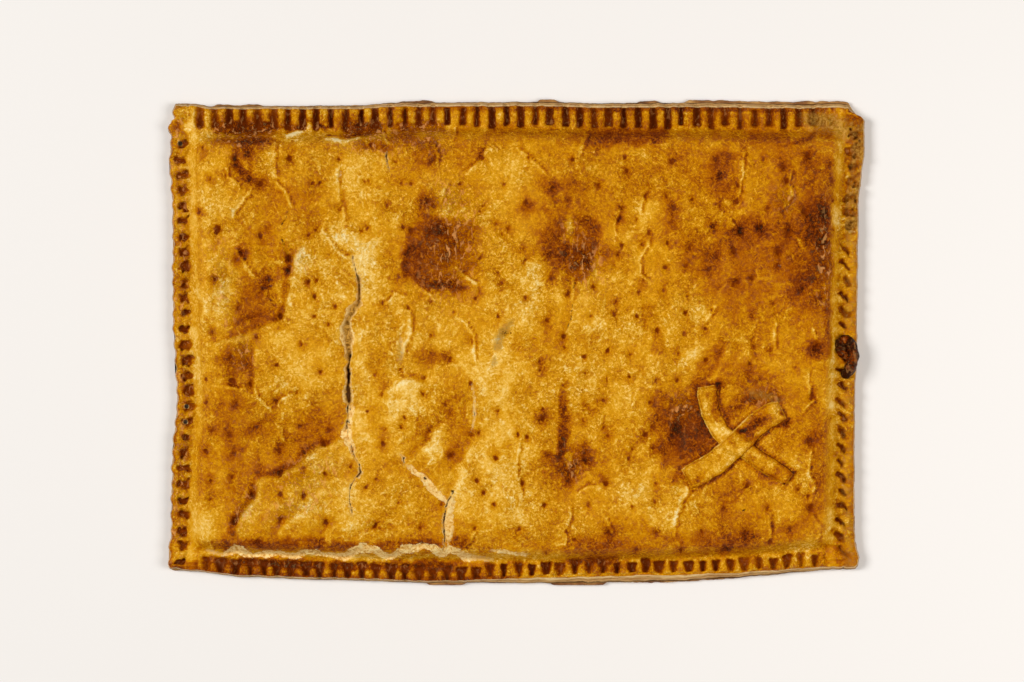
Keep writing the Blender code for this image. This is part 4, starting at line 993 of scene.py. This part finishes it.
def dent(x, y, height, paint_on):
    """Presses the docking marks into the surface, each with a low wall round it, and notes them."""
    for a, b, radius, strength in pricks():
        near = np.flatnonzero((np.abs(x - a) < 6 * radius) & (np.abs(y - b) < 6 * radius))
        lean = 0.3 * uneven(a, b, 9 * MM, 16)
        stray = 0.45 * MM * uneven(x[near], y[near], 1.4 * MM, 38)
        far = (np.hypot(x[near] - a - lean * (y[near] - b), (y[near] - b) * 0.72) + stray) / radius
        profile = 0.3 * bell((far - 2.0) / 0.6) - 1.1 * bell(far) - 0.4 * bell(far / 2.4)
        height[near] += strength * radius * profile
        hole, ring = edge_of(radius * (0.9 - far)), bell(far / HALO)
        paint_on["prick"][near] = np.maximum(paint_on["prick"][near], strength * hole)
        paint_on["halo"][near] = np.maximum(paint_on["halo"][near], strength * ring)


def lid_surface(x, y):
    """Height of every point of the lid's top, with all its marks, and what is painted on it."""
    inside = sides(x, y)
    bodied = step(np.minimum.reduce([inside[name] - RIM[name] for name in inside]) / (6 * MM))
    within, depths, ridge, pale, merged = tine_marks(x, y, inside)
    pressed = step(0.45 + within / 2.0)
    height = lid_form(x, y) - TINE_DEPTH * pressed + MM * (step(ridge) - merged * (1 - pressed))
    blister_and_glints = np.maximum.reduce([blob(x, y, *spot) for spot in BLISTERS])
    paint_on = {name: np.zeros(x.shape) for name in ("torn", "raw", "split_shade", "deep", "prick", "halo")}
    line_height, line_shade = lined(x, y, paint_on)
    small_height, small_shade = crackle(x, y, blister_and_glints, bodied)
    height = cracks(x, y, height + line_height + small_height, paint_on)
    dent(x, y, height, paint_on)

    # Crumbly burnt dough on the upper part of the right rim and at its torn corner
    high = step((y / MM - 48) / 8) * step((10.5 * MM - inside["right"]) / (2 * MM))
    corner = blob(x, y, 157, 110, 12, 9)
    crumbs = np.maximum(high, corner) * (np.abs(uneven(x, y, 3.0 * MM, 46, 2)) - 0.30)
    height = height + 1.5 * MM * crumbs

    # What the material reads of the marks, of the frothy egg wash with its painted glints, which also go on
    # the merged crust, the marks, the left rim and the torn corner, and of the smooth bands inside the rim
    paint_on["tine"] = np.clip(0.5 + within / 2.4, 0, 1)
    paint_on["burn"] = depths * (1 - 0.45 * high)
    rim = step((8.5 * MM - inside["left"]) / (2 * MM)) * (0.60 + 0.6 * uneven(x, y, 4 * MM, 48, 2))
    glint_froth = np.maximum.reduce([0.8 * merged, 0.5 * step(within / 1.2), rim, 0.5 * corner])
    glint_froth = glint_froth * (1 - 0.6 * step((-95 - y / MM) / 6))
    paint_on["blister_and_glints"] = np.clip(np.maximum(blister_and_glints, glint_froth), 0, 1)
    smooth = bell((inside["left"] / MM - 12) / 3.5) + bell((inside["right"] / MM - 12.8) / 2.5)
    paint_on["smooth"] = np.clip(smooth, 0, 1)
    shade = line_shade + small_shade + 0.30 * merged - pale - 0.55 * crumbs
    return height, inside, paint_on, shade


def browning(x, y, inside, shade):
    """How dark each point is painted, from browning and painted shade: 0 is pale dough, 0.5 amber and 1
    black.
    """
    wide = uneven(x, y, 8 * MM, 21, 3) * 3.0 * MM
    tall = uneven(x, y, 8 * MM, 22, 3) * 3.0 * MM
    ragged = uneven(x, y, 3.5 * MM, 26, 3)
    bake_and_shade = np.full(x.shape, GOLDEN)
    for cx, cy, long, across, strength, *turn in BROWNING:
        soft = blob(x + wide, y + tall, cx, cy, long * 1.15, across * 1.15, *turn)
        crisp = step((soft + 0.22 * ragged - 0.24) / 0.36)
        bake_and_shade = bake_and_shade + 0.85 * strength / 100 * (0.5 * soft + 0.5 * crisp)
    bake_and_shade = bake_and_shade + 0.09 * uneven(x, y, 26 * MM, 23, 2) + 0.11 * uneven(x, y, 7 * MM, 24, 3)

    # Bands along the four sides, in millimetres from here on
    left, right, top, bottom = (inside[name] / MM for name in ("left", "right", "top", "bottom"))
    x, y = x / MM, y / MM
    body_rows = step((top - 4) / 8)
    bake_and_shade = bake_and_shade + 0.05 * step((x - 70) / 40)
    # Painted shade in a thin line where the left slope meets the body, and the slope itself paler, as
    # painted light where it faces the light
    bake_and_shade = bake_and_shade + (0.10 * bell((left - 14.6) / 0.9) - 0.10 * bell((left - 11.5) / 3.2)) * body_rows
    bake_and_shade = bake_and_shade + 0.13 * step((9.5 - left) / 2.0) * (1 + 0.8 * uneven(x, y, 4, 27, 2))
    bake_and_shade = bake_and_shade - 0.12 * bell((left - 1.6) / 1.4)
    bake_and_shade = bake_and_shade + 0.07 * step((9.0 - right) / 2.5) - 0.19 * bell((right - 12.8) / 2.2)
    bake_and_shade = bake_and_shade + 0.05 * step((13 - top) / 4) * step((x + 45) / 12)
    bake_and_shade = bake_and_shade + 0.08 * bell((top - 17) / 3) * step((x - 50) / 12)
    bake_and_shade = bake_and_shade + 0.14 * step((4.5 - top) / 3) * step((x + 60) / 20)
    bake_and_shade = bake_and_shade + 0.14 * step((7 - bottom) / 3) * step((20 - x) / 40)
    bake_and_shade = bake_and_shade + 0.14 * step((3 - bottom) / 1.5) * step(0.5 - x / 40)
    # shade brings the painted shade beside the veins, in the folds, creases and round the strips, the
    # painted highlights on the ledges' crests, and the browner and paler crust of the marks, ledges and
    # crumbs
    bake_and_shade = bake_and_shade + 0.05 * step(1 - nearest_of(inside) / (1.4 * MM)) + shade
    return np.where(bake_and_shade > 0.74, 0.74 + (bake_and_shade - 0.74) * 0.55, bake_and_shade)


# How far the crust in the fork marks is browned towards MARK_TONE, on each side
MARK_SHARE = {"top": 0.93, "bottom": 0.94, "left": 0.74, "right": 0.76}


def burning(x, y, inside):
    """How far the crust inside the fork marks is browned."""
    nearest = nearest_of(inside)
    share = np.select([inside[name] == nearest for name in inside], [MARK_SHARE[name] for name in inside])
    faint = step((x / MM - 95) / 40) * (inside["bottom"] < 16 * MM)
    return share * (1 - 0.40 * faint) * (1 + 0.22 * uneven(x, y, 6 * MM, 25, 2))


# Colours as they look on screen, 0 to 255: the crust's from unbaked dough to burnt, the painted
# glints' of the egg wash, the torn dough's, the soaked dough's, the cut edge's from the crust down, and
# the painted shade's at the bottom of a split. GLAZE tints the shine of the egg wash.
CRUST_TONES = [
    (0, (252, 228, 166)), (0.12, (246, 208, 122)), (0.24, (234, 180, 68)), (0.36, (216, 152, 20)),
    (0.5, (194, 123, 0)), (0.64, (168, 90, 0)), (0.78, (128, 56, 0)), (0.9, (88, 34, 0)), (1, (48, 20, 2)),
]
GLINT_COLOUR = (250, 174, 96)
TORN_TONES = [(0.34, (204, 146, 62)), (0.44, (238, 188, 106)), (0.66, (255, 226, 154))]
DEEP_TONES = [(0.36, (112, 74, 22)), (0.6, (196, 144, 60))]
CUT_TONES = [
    (0, (160, 98, 26)), (0.12, (206, 156, 84)), (0.22, (238, 206, 148)), (0.42, (208, 166, 104)),
    (0.55, (164, 112, 58)), (0.72, (214, 168, 106)), (1, (110, 70, 32)),
]
SPLIT_SHADE_COLOUR = (66, 36, 10)
GLAZE = (1.0, 0.70, 0.36, 1.0)


def crust_material(name):
    """Egg-washed crust: amber mottled from straw to brown, with pale torn dough, dark pricks, painted
    glints of the egg wash and black painted shade at the bottom of its splits.
    """
    mat, tree, shader, add = shader_of(name)
    place = add("TexCoord").outputs["Object"]
    kinds = ("bake_and_shade", "burn", "tine", "torn", "raw", "split_shade", "deep", "prick", "blister_and_glints", "smooth", "cut")
    bake_and_shade, burn, tine, torn, raw, split_shade, deep, prick, blister_and_glints, smooth, cut = (
        add("Attribute", attribute_name=kind).outputs["Fac"] for kind in kinds
    )

    def maths(operation, a, b=0.0, c=0.0):
        return add("Math", {0: a, 1: b, 2: c}, operation=operation).outputs[0]

    times, larger, less = (partial(maths, operation) for operation in ("MULTIPLY", "MAXIMUM", "SUBTRACT"))
    times_plus = partial(maths, "MULTIPLY_ADD")

    def cloud(scale, detail, roughness, distortion=0.0, where=place):
        settings = {"Scale": scale, "Detail": detail, "Roughness": roughness, "Distortion": distortion}
        return add("TexNoise", {"Vector": where, **settings}).outputs["Fac"]

    def stretched(scale, turn=0.0):
        return add("Mapping", {"Vector": place, "Rotation": (0, 0, turn), "Scale": scale}).outputs["Vector"]

    def spread(cloudy, amount, base):
        return times_plus(less(cloudy, 0.5), amount, base)

    def sharpened(value, start, end):
        limits = {"Value": value, "From Min": start, "From Max": end}
        return add("MapRange", limits, interpolation_type="SMOOTHSTEP").outputs[0]

    def mixed(share, first, second):
        return add("MixRGB", {"Fac": share, "Color1": first, "Color2": second}).outputs["Color"]

    def wrinkles(scale, distortion, where):
        """Thin winding lines, in the places asked for."""
        off = maths("ABSOLUTE", less(cloud(scale, 3.0, 0.55, distortion), 0.5))
        return times(sharpened(off, 0.050, 0.008), where)

    def browned(share, goal, tone):
        """The tone moved by that share of the way to the goal, where it is below it."""
        return times_plus(share, larger(less(goal, tone), 0.0), tone)

    # Noises of the crust, from coarse to fine, and the pale specks and streaks drawn out by the brush:
    # painted glints of the egg wash in the colour, and real shine and relief
    mottle = cloud(120.0, 4.0, 0.6, 0.2)
    fleck = cloud(400.0, 3.0, 0.6, 1.2)
    grain = cloud(850.0, 3.0, 0.65, 0.8)
    fine = times_plus(fleck, 0.5, times(grain, 0.5))
    streaks = cloud(1.0, 2.0, 0.5, 0.6, stretched((460, 230, 460), 0.25))
    froth_and_glints = larger(sharpened(streaks, 0.56, 0.66), times(sharpened(fine, 0.54, 0.62), 0.6))
    froth_and_glints = times(froth_and_glints, blister_and_glints)

    # How brown it is: what is painted, with grain whose pale specks are painted tiny glints, freckles and
    # wrinkles, then the marks and pricks
    patchy = sharpened(cloud(40.0, 2.0, 0.5, 0.4), 0.38, 0.62)
    coarse = times_plus(larger(patchy, blister_and_glints), 0.36, 0.76)
    coarse = times(coarse, times_plus(smooth, -0.4, 1.0))
    # The grain, with pale specks on top of it as painted highlights
    grain_and_glints = less(times(less(grain, 0.5), 0.95), times(sharpened(grain, 0.53, 0.68), 0.10))
    grain_and_glints = times(grain_and_glints, coarse)
    wrinkle = wrinkles(170.0, 0.9, sharpened(mottle, 0.42, 0.58))
    seam = wrinkles(95.0, 1.4, patchy)
    freckle = times(times(less(fleck, 0.5), 0.62), coarse)
    tone = maths("ADD", maths("ADD", grain_and_glints, freckle), spread(mottle, 0.42, bake_and_shade))
    tone = times_plus(seam, 0.05, times_plus(wrinkle, -0.15, tone))
    tone = browned(times(sharpened(spread(fleck, 0.7, tine), 0.22, 0.80), burn), MARK_TONE, tone)
    tone = browned(sharpened(spread(fleck, 0.8, prick), 0.26, 0.80), PRICK_TONE, tone)

    # Its colour, under painted glints, torn dough, soaked dough, painted shade at the bottom of the splits
    # and the layers of the cut edge
    crust = mixed(times(froth_and_glints, 0.66), ramp_of(add, tone, CRUST_TONES), on_screen(GLINT_COLOUR))
    opened = sharpened(spread(grain, 0.7, spread(fleck, 1.3, torn)), 0.38, 0.60)
    specked = spread(grain, 0.8, fleck)
    crust = mixed(times(opened, raw), crust, ramp_of(add, specked, TORN_TONES))
    soaked = sharpened(spread(fleck, 0.6, deep), 0.15, 0.80)
    crust = mixed(soaked, crust, ramp_of(add, specked, DEEP_TONES))
    # Painted shade at the bottom of the splits
    bottom = sharpened(spread(grain, 0.5, spread(fleck, 0.9, split_shade)), 0.38, 0.62)
    crust = mixed(bottom, crust, on_screen(SPLIT_SHADE_COLOUR))
    flakes = cloud(1.0, 4.0, 0.6, 0.0, stretched((70, 70, 900)))
    layers = ramp_of(add, spread(flakes, 1.1, cut), CUT_TONES)
    tree.links.new(mixed(sharpened(cut, 0.02, 0.10), crust, layers), shader.inputs["Base Color"])

    # Its shine and its fine relief
    shine = times_plus(froth_and_glints, 0.15, times_plus(sharpened(fine, 0.50, 0.62), 0.35, 0.08))
    tree.links.new(shine, shader.inputs["Specular IOR Level"])
    shader.inputs["Specular Tint"].default_value = GLAZE
    limits = {"From Min": 0.35, "From Max": 0.65, "To Min": 0.12, "To Max": 0.22}
    rough = times_plus(blister_and_glints, -0.03, add("MapRange", {"Value": mottle, **limits}).outputs[0])
    tree.links.new(times_plus(larger(cut, raw), 0.4, rough), shader.inputs["Roughness"])
    relief = times_plus(fleck, 1.0, times(grain, 0.65))
    for lines, amount in ((wrinkle, 0.40), (froth_and_glints, 0.30), (seam, -0.12)):
        relief = times_plus(lines, amount, relief)
    strength = times_plus(blister_and_glints, 0.25, times_plus(coarse, 0.50, 0.08))
    bump = add("Bump", {"Height": relief, "Strength": strength, "Distance": 0.0016})
    tree.links.new(bump.outputs["Normal"], shader.inputs["Normal"])
    return mat


def wall_down(bm, levels):
    """Extrudes the sheet's rim once for each level of its cut edge, and closes it below."""
    rim = [edge for edge in bm.edges if edge.is_boundary]
    for level in range(levels):
        made = bmesh.ops.extrude_edge_only(bm, edges=rim)["geom"]
        rim = [item for item in made if isinstance(item, bmesh.types.BMEdge) and item.is_boundary]
        for vert in {vert for edge in rim for vert in edge.verts}:
            vert.co.z = -1.0 - level
    bmesh.ops.triangle_fill(bm, edges=rim, use_beauty=True)
    bmesh.ops.recalc_face_normals(bm, faces=bm.faces)


# The two strips of dough across the lid, beside which painted shadow darkens it: middle line, first and
# last width
UNDER_STRIP = ([(94.8, -22.4), (96.2, -33), (102.5, -45.5), (115.2, -54.5), (134.8, -67.5)], 8.6, 6.8)
OVER_STRIP = (
    [(85.2, -67.4), (93.5, -63), (100, -59), (106.5, -53), (114.5, -45.5), (123, -38), (131.5, -34)],
    10.8, 9.8,
)


def shape_lid(bm):
    """Lifts the closed flat lid to its surface, and gives what is painted on it."""
    wall_down(bm, len(LID_WALL))
    x, y, level = np.array([vert.co for vert in bm.verts]).T
    height, inside, paint_on, shade = lid_surface(x, y)
    edge_x, edge_y = ragged_edge(x, y, inside)
    top_x, top_y = slant_in(edge_x, edge_y, inside)

    # The cut edge goes down from the crust in rings, and the crust itself is the ring at no depth
    drop, inwards, paint_on["cut"] = np.array([(0, 0, 0), *LID_WALL])[np.round(-level).astype(int)].T
    drop = drop * MM / LID_THICK
    out = drop * (1 + 0.12 * uneven(x, y, 3 * MM, 33, 2)) - inwards * 0.3
    plan_x, plan_y = within_box(top_x + (edge_x - top_x) * out, top_y + (edge_y - top_y) * out)
    height = height + (RIM_TOP - LID_THICK - height) * drop
    for vert, *place in zip(bm.verts, plan_x, plan_y, height):
        vert.co = place

    # Soaked olive dough on the right rim, and painted shadow along the strips, darker on their shaded side
    olive = step((8.2 * MM - inside["right"]) / (1.4 * MM)) * (0.38 + 0.20 * step((y / MM - 54) / 4))
    olive = olive * step((115 - y / MM) / 6) * (0.8 + 0.5 * uneven(x, y, 5 * MM, 39, 2))
    paint_on["deep"] = np.maximum(paint_on["deep"], olive)
    for (points, first_width, last_width), shaded in ((UNDER_STRIP, 1), (OVER_STRIP, -1)):
        far, offset, share = beside(x, y, points)
        sideways = np.abs(offset) - (first_width + (last_width - first_width) * share) / 2 * MM
        endways = np.sqrt(np.maximum(far**2 - offset**2, 0))
        beyond = np.maximum(sideways, endways)
        # Painted shadow on the lid round each strip, stronger on the side away from the light
        strong = np.where(offset * shaded > 0, 0.46, 0.28)
        shade = shade + strong * bell((beyond - 1.4 * MM) / (0.8 * MM))
    paint_on["bake_and_shade"] = browning(x, y, inside, shade) + 0.19 * paint_on.pop("halo")
    paint_on["burn"] = np.clip(paint_on["burn"] * burning(x, y, inside), 0, 1)
    return paint_on


sheet = lid_sheet()
lid_paint = shape_lid(sheet)
lid = new_piece("filled_lid", sheet)
for kind, values in lid_paint.items():
    paint(lid, kind, values)
pierce(lid)
lid.data.materials.append(crust_material("golden_crust"))
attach(lid, "root")
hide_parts("lid_crust")


# The scrap of dough that curled up on the right rim. It is a short rolled end of the same dough, stuck
# to the rim by the egg wash, and it burnt almost black where it stood up into the heat.
# The curl's middle line, its radius, how far it stands above the rim, and its rings and their points
CURL_LINE = [
    (162.4, -14.6), (165, -15.2), (167.4, -11.8), (168.3, -6.6), (167.2, -1.2), (164.4, 1),
    (162.2, -0.8), (162.6, -4.2), (164.6, -6.6), (166, -8.6),
]
CURL_THICK = 2.9 * MM
CURL_LIFT = 1.2 * MM
CURL_RINGS = 110
CURL_ROUND = 22


def smooth_path(points, count):
    """Places on a smooth curve through the points, and the direction at each."""
    points = np.array(points, float)
    knots = np.array([2 * points[0] - points[1], *points, 2 * points[-1] - points[-2]])
    spans = len(points) - 1
    u = np.linspace(0, spans, count + 1)
    k = np.minimum(u.astype(int), spans - 1)
    t = (u - k)[:, None]
    a, b, c, d = (knots[k + ahead] for ahead in range(4))
    linear, square, cube = c - a, 2 * a - 5 * b + 4 * c - d, 3 * b - a - 3 * c + d
    place = (2 * b + linear * t + square * t**2 + cube * t**3) / 2
    slope = (linear + square * 2 * t + cube * 3 * t**2) / 2
    return place * MM, slope / np.linalg.norm(slope, axis=1)[:, None]


def curl():
    """A lumpy roll of dough along the curl's line, tapered to both ends, and how brown it is."""
    place, direction = smooth_path(CURL_LINE, CURL_RINGS)
    bm = bmesh.new()
    bmesh.ops.create_grid(bm, x_segments=CURL_RINGS, y_segments=CURL_ROUND, size=0.5)
    bake_and_shade = []
    for vert in bm.verts:
        i = round((vert.co.x + 0.5) * CURL_RINGS)
        turn = (vert.co.y + 0.5) * 2 * math.pi
        share = i / CURL_RINGS
        lump = float(uneven(share * 60, math.sin(turn) * 3, 3, 51, 2))
        taper = math.sqrt(min(1.0, 0.12 + 8 * share) * min(1.0, 0.12 + 5 * (1 - share)))
        radius = CURL_THICK * taper * (1 + 0.22 * lump) * (1 - 0.25 * step(np.array((share - 0.7) / 0.2)))
        out, up = radius * math.cos(turn), radius * math.sin(turn)
        spot = place[i] + np.array((direction[i][1], -direction[i][0])) * out
        vert.co = (*within_box(*spot), RIM_TOP + CURL_LIFT + up * 0.95 - 0.3 * MM * share)
        bake_and_shade.append(1.08 + 0.34 * lump - 0.14 * step(np.array((share - 0.68) / 0.2)))
    return bm, np.array(bake_and_shade)


rolled, curl_bake = curl()
burnt_curl = new_piece("burnt_curl", rolled)
paint(burnt_curl, "bake_and_shade", curl_bake)
# Painted glints in the curl's colour, with a little shine and relief
paint(burnt_curl, "blister_and_glints", np.full(len(curl_bake), 0.25))
weld = bmesh.new()
weld.from_mesh(burnt_curl.data)
bmesh.ops.remove_doubles(weld, verts=weld.verts, dist=0.01 * MM)
bmesh.ops.holes_fill(weld, edges=[edge for edge in weld.edges if edge.is_boundary], sides=0)
bmesh.ops.recalc_face_normals(weld, faces=weld.faces)
weld.to_mesh(burnt_curl.data)
weld.free()
burnt_curl.data.shade_smooth()
burnt_curl.data.materials.append(crust_material("burnt_crust"))
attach(burnt_curl, "root")
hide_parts("lid_crust")


# The two strips of dough that cross near the lower right corner. They were cut from a rolled sheet
# with a knife, so their sides are pale, laid one over the other and brushed with egg.
STRIP_THICK = 2.7 * MM
STRIP_SUNK = 0.5 * MM
STRIP_LENGTHWISE = 170
STRIP_ACROSS = 26

# Over how far the upper strip comes down beside the lower one
DRAPE = 3.2 * MM

# Rings down the cut sides: drop and reach outwards, and how much browner, the two lowest darkest as
# painted shade at the sides' foot
STRIP_WALL = [(0.25, 0.25, 0.10), (0.8, 0.6, -0.08), (1.4, 0.9, 0.04), (2.0, 1.05, 0.36), (3.3, 1.2, 0.6)]

# Brown and pale patches of the strips, as in BROWNING
STRIP_BROWNING = [
    (111.8, -43.5, 2.6, 1.5, 56), (120.5, -39, 7, 3.2, 38, 40), (89.5, -68.5, 2, 1.6, 20),
    (115.5, -42.5, 6, 2.2, 16, 35), (131.4, -35.2, 1.3, 1.2, 42), (101.6, -56.4, 2.2, 1.4, 18, 60),
    (93, -65.5, 6, 2.4, 22, 30), (128, -32.5, 5, 4, -14, 40), (98, -64, 8, 2.5, -10, 35),
    (110, -40.5, 9, 1.6, -22, 41), (117, -46, 6, 4, 16, 40), (98.5, -32, 3, 7, 24),
    (131, -65, 5, 3, 24, -30), (117.4, -57.2, 1.4, 1.1, 28), (127, -65.5, 6, 3, 14, -30),
    (113, -54, 3, 4, -20), (95, -27, 4, 3, 6), (133.5, -70.2, 0.7, 0.7, 70),
]


def strip_distance(x, y, spec):
    """How far places lie from a strip's middle line, less half its width there."""
    points, first_width, last_width = spec
    far, offset, share = beside(x, y, [tuple(p / MM) for p in smooth_path(points, 16)[0]])
    return far - (first_width + (last_width - first_width) * share) / 2 * MM


def under_ground(x, y):
    """The lid."""
    return lid_form(x, y) - STRIP_SUNK


def over_ground(x, y):
    """The lid, and the lower strip where the upper one drapes over it."""
    lifted = step(0.5 - (strip_distance(x, y, UNDER_STRIP) - 1.2 * MM) / DRAPE)
    return lid_form(x, y) - STRIP_SUNK + (STRIP_THICK - 0.9 * MM) * lifted


def strip(name, spec, ground, shaded):
    """A strip of dough laid on the ground, with slanting cut sides: the one on the shaded side darker, as
    painted shade.
    """
    points, first_width, last_width = spec
    path, direction = smooth_path(points, STRIP_LENGTHWISE)
    bm = bmesh.new()
    bmesh.ops.create_grid(bm, x_segments=STRIP_LENGTHWISE, y_segments=STRIP_ACROSS, size=0.5)
    wall_down(bm, len(STRIP_WALL))
    along, across, level = np.array([vert.co for vert in bm.verts]).T
    along, level = along + 0.5, np.round(-level).astype(int)
    i = np.round(along * STRIP_LENGTHWISE).astype(int)

    # Each point's place along and across the strip, and how far the slanting sides stand out there
    drop, out, wall_tone = np.array([(0, 0, 0), *STRIP_WALL])[level].T
    drop, out = drop * MM, out * MM
    ends = np.minimum(along, 1 - along) * length_of(points)
    width = (first_width + (last_width - first_width) * along) * (0.86 + 0.14 * step(ends / 2.5)) * MM
    to_side, to_end = width * (0.5 - np.abs(across)), ends * MM
    from_edge = np.minimum(to_side, to_end)
    sideways = np.where(to_side < 0.01 * MM, np.sign(across), 0) * out
    endways = np.where(to_end < 0.01 * MM, np.sign(along - 0.5), 0) * out
    stray = 0.6 * MM * uneven(along * 60, np.sign(across) * 5, 5, 61, 3) * step(1 - to_side / (3 * MM))
    off = width * across + sideways + stray * np.sign(across)
    to_x, to_y = direction[i].T
    x, y = path[i].T + (to_x * endways - to_y * off, to_y * endways + to_x * off)

    # Its height, with rounded edges, lumps and the rough end of the upper strip
    rounding = 0.7 * MM * (1 - step(from_edge / (1.8 * MM)))
    lumps = MM * (0.45 * uneven(x, y, 5 * MM, 62, 2) + 0.25 * np.abs(uneven(x, y, 2 * MM, 63, 2)))
    rough_end = blob(x, y, 129.5, -33.5, 4.5, 3.5, 40)
    lumps = lumps + 0.9 * MM * rough_end * np.abs(uneven(x, y, 2.4 * MM, 64, 2))
    height = ground(x, y) + STRIP_THICK - rounding + lumps * (level == 0) - drop
    for vert, *place in zip(bm.verts, x, y, height):
        vert.co = place

    # How brown it is
    wander = [uneven(x, y, 5 * MM, seed, 2) * 0.9 * MM for seed in (65, 66)]
    bake_and_shade = 0.42 + 0.26 * uneven(x, y, 6 * MM, 67, 3)
    for cx, cy, long, wide, strength, *turn in STRIP_BROWNING:
        bake_and_shade = bake_and_shade + strength / 100 * blob(x + wander[0], y + wander[1], cx, cy, long, wide, *turn)
    bake_and_shade = bake_and_shade + wall_tone + 0.16 * step(1 - from_edge / (1.0 * MM)) * (level == 0)
    # Painted shade on the cut side that faces away from the light
    bake_and_shade = bake_and_shade + 0.40 * (level > 1) * (sideways * shaded > 0)
    piece = new_piece(name, bm)
    paint(piece, "bake_and_shade", bake_and_shade)
    paint(piece, "deep", 0.22 * (level > 1))
    # Painted glints in the colour of the upper strip's rough end, with its shine and relief
    paint(piece, "blister_and_glints", rough_end)
    piece.data.materials.append(crust_material("strip_crust"))
    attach(piece, "root")
    return piece


lower_strip = strip("lower_strip", UNDER_STRIP, under_ground, 1)
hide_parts("cross_strip_under")
upper_strip = strip("upper_strip", OVER_STRIP, over_ground, -1)
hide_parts("cross_strip_over")


# What the pie lies on, the light and the camera: a pale plain surface under a wide soft light from
# the left, seen from straight above.
def floor():
    """The table top."""
    bm = bmesh.new()
    bmesh.ops.create_grid(bm, x_segments=1, y_segments=1, size=6.0)
    piece = new_piece("table_top", bm)
    mat, tree, shader, add = shader_of("pale_surface")
    shader.inputs["Base Color"].default_value = (0.87, 0.85, 0.83, 1.0)
    shader.inputs["Roughness"].default_value = 0.9
    piece.data.materials.append(mat)


def area_light(name, place, size, power, colour):
    """A square lamp of that size, aimed at the middle of the pie."""
    data = bpy.data.lights.new(name, "AREA")
    data.shape = "RECTANGLE"
    data.size = data.size_y = size
    data.energy = power
    data.color = colour
    lamp = bpy.data.objects.new(name, data)
    bpy.context.scene.collection.objects.link(lamp)
    lamp.location = place
    lamp.rotation_euler = (-Vector(place)).to_track_quat("-Z", "Y").to_euler()


floor()
area_light("key_box", (-1.88, 0.38, 1.90), 1.0, 53.0, (1.0, 0.99, 0.98))
area_light("fill_box", (0.85, -0.12, 1.00), 0.7, 8.9, (1.0, 0.965, 0.93))
world = bpy.data.worlds.new("room")
world.use_nodes = True
background = world.node_tree.nodes["Background"]
background.inputs["Color"].default_value = (1.0, 0.95, 0.88, 1.0)
background.inputs["Strength"].default_value = 0.22
bpy.context.scene.world = world
bpy.context.scene.view_settings.view_transform = "Standard"

# The camera looks straight down. At the height of the rim the picture is 1024 pixels of 0.5 mm wide.
CAMERA_PLACE = (-0.002, 0.00075, 1.45)
VIEW_WIDTH = 0.512
SENSOR_WIDTH = 36.0
camera_data = bpy.data.cameras.new("camera")
camera_data.sensor_width = SENSOR_WIDTH
camera_data.lens = SENSOR_WIDTH * (CAMERA_PLACE[2] - RIM_TOP) / VIEW_WIDTH
camera = bpy.data.objects.new("camera", camera_data)
camera.location = CAMERA_PLACE
bpy.context.scene.collection.objects.link(camera)
bpy.context.scene.camera = camera
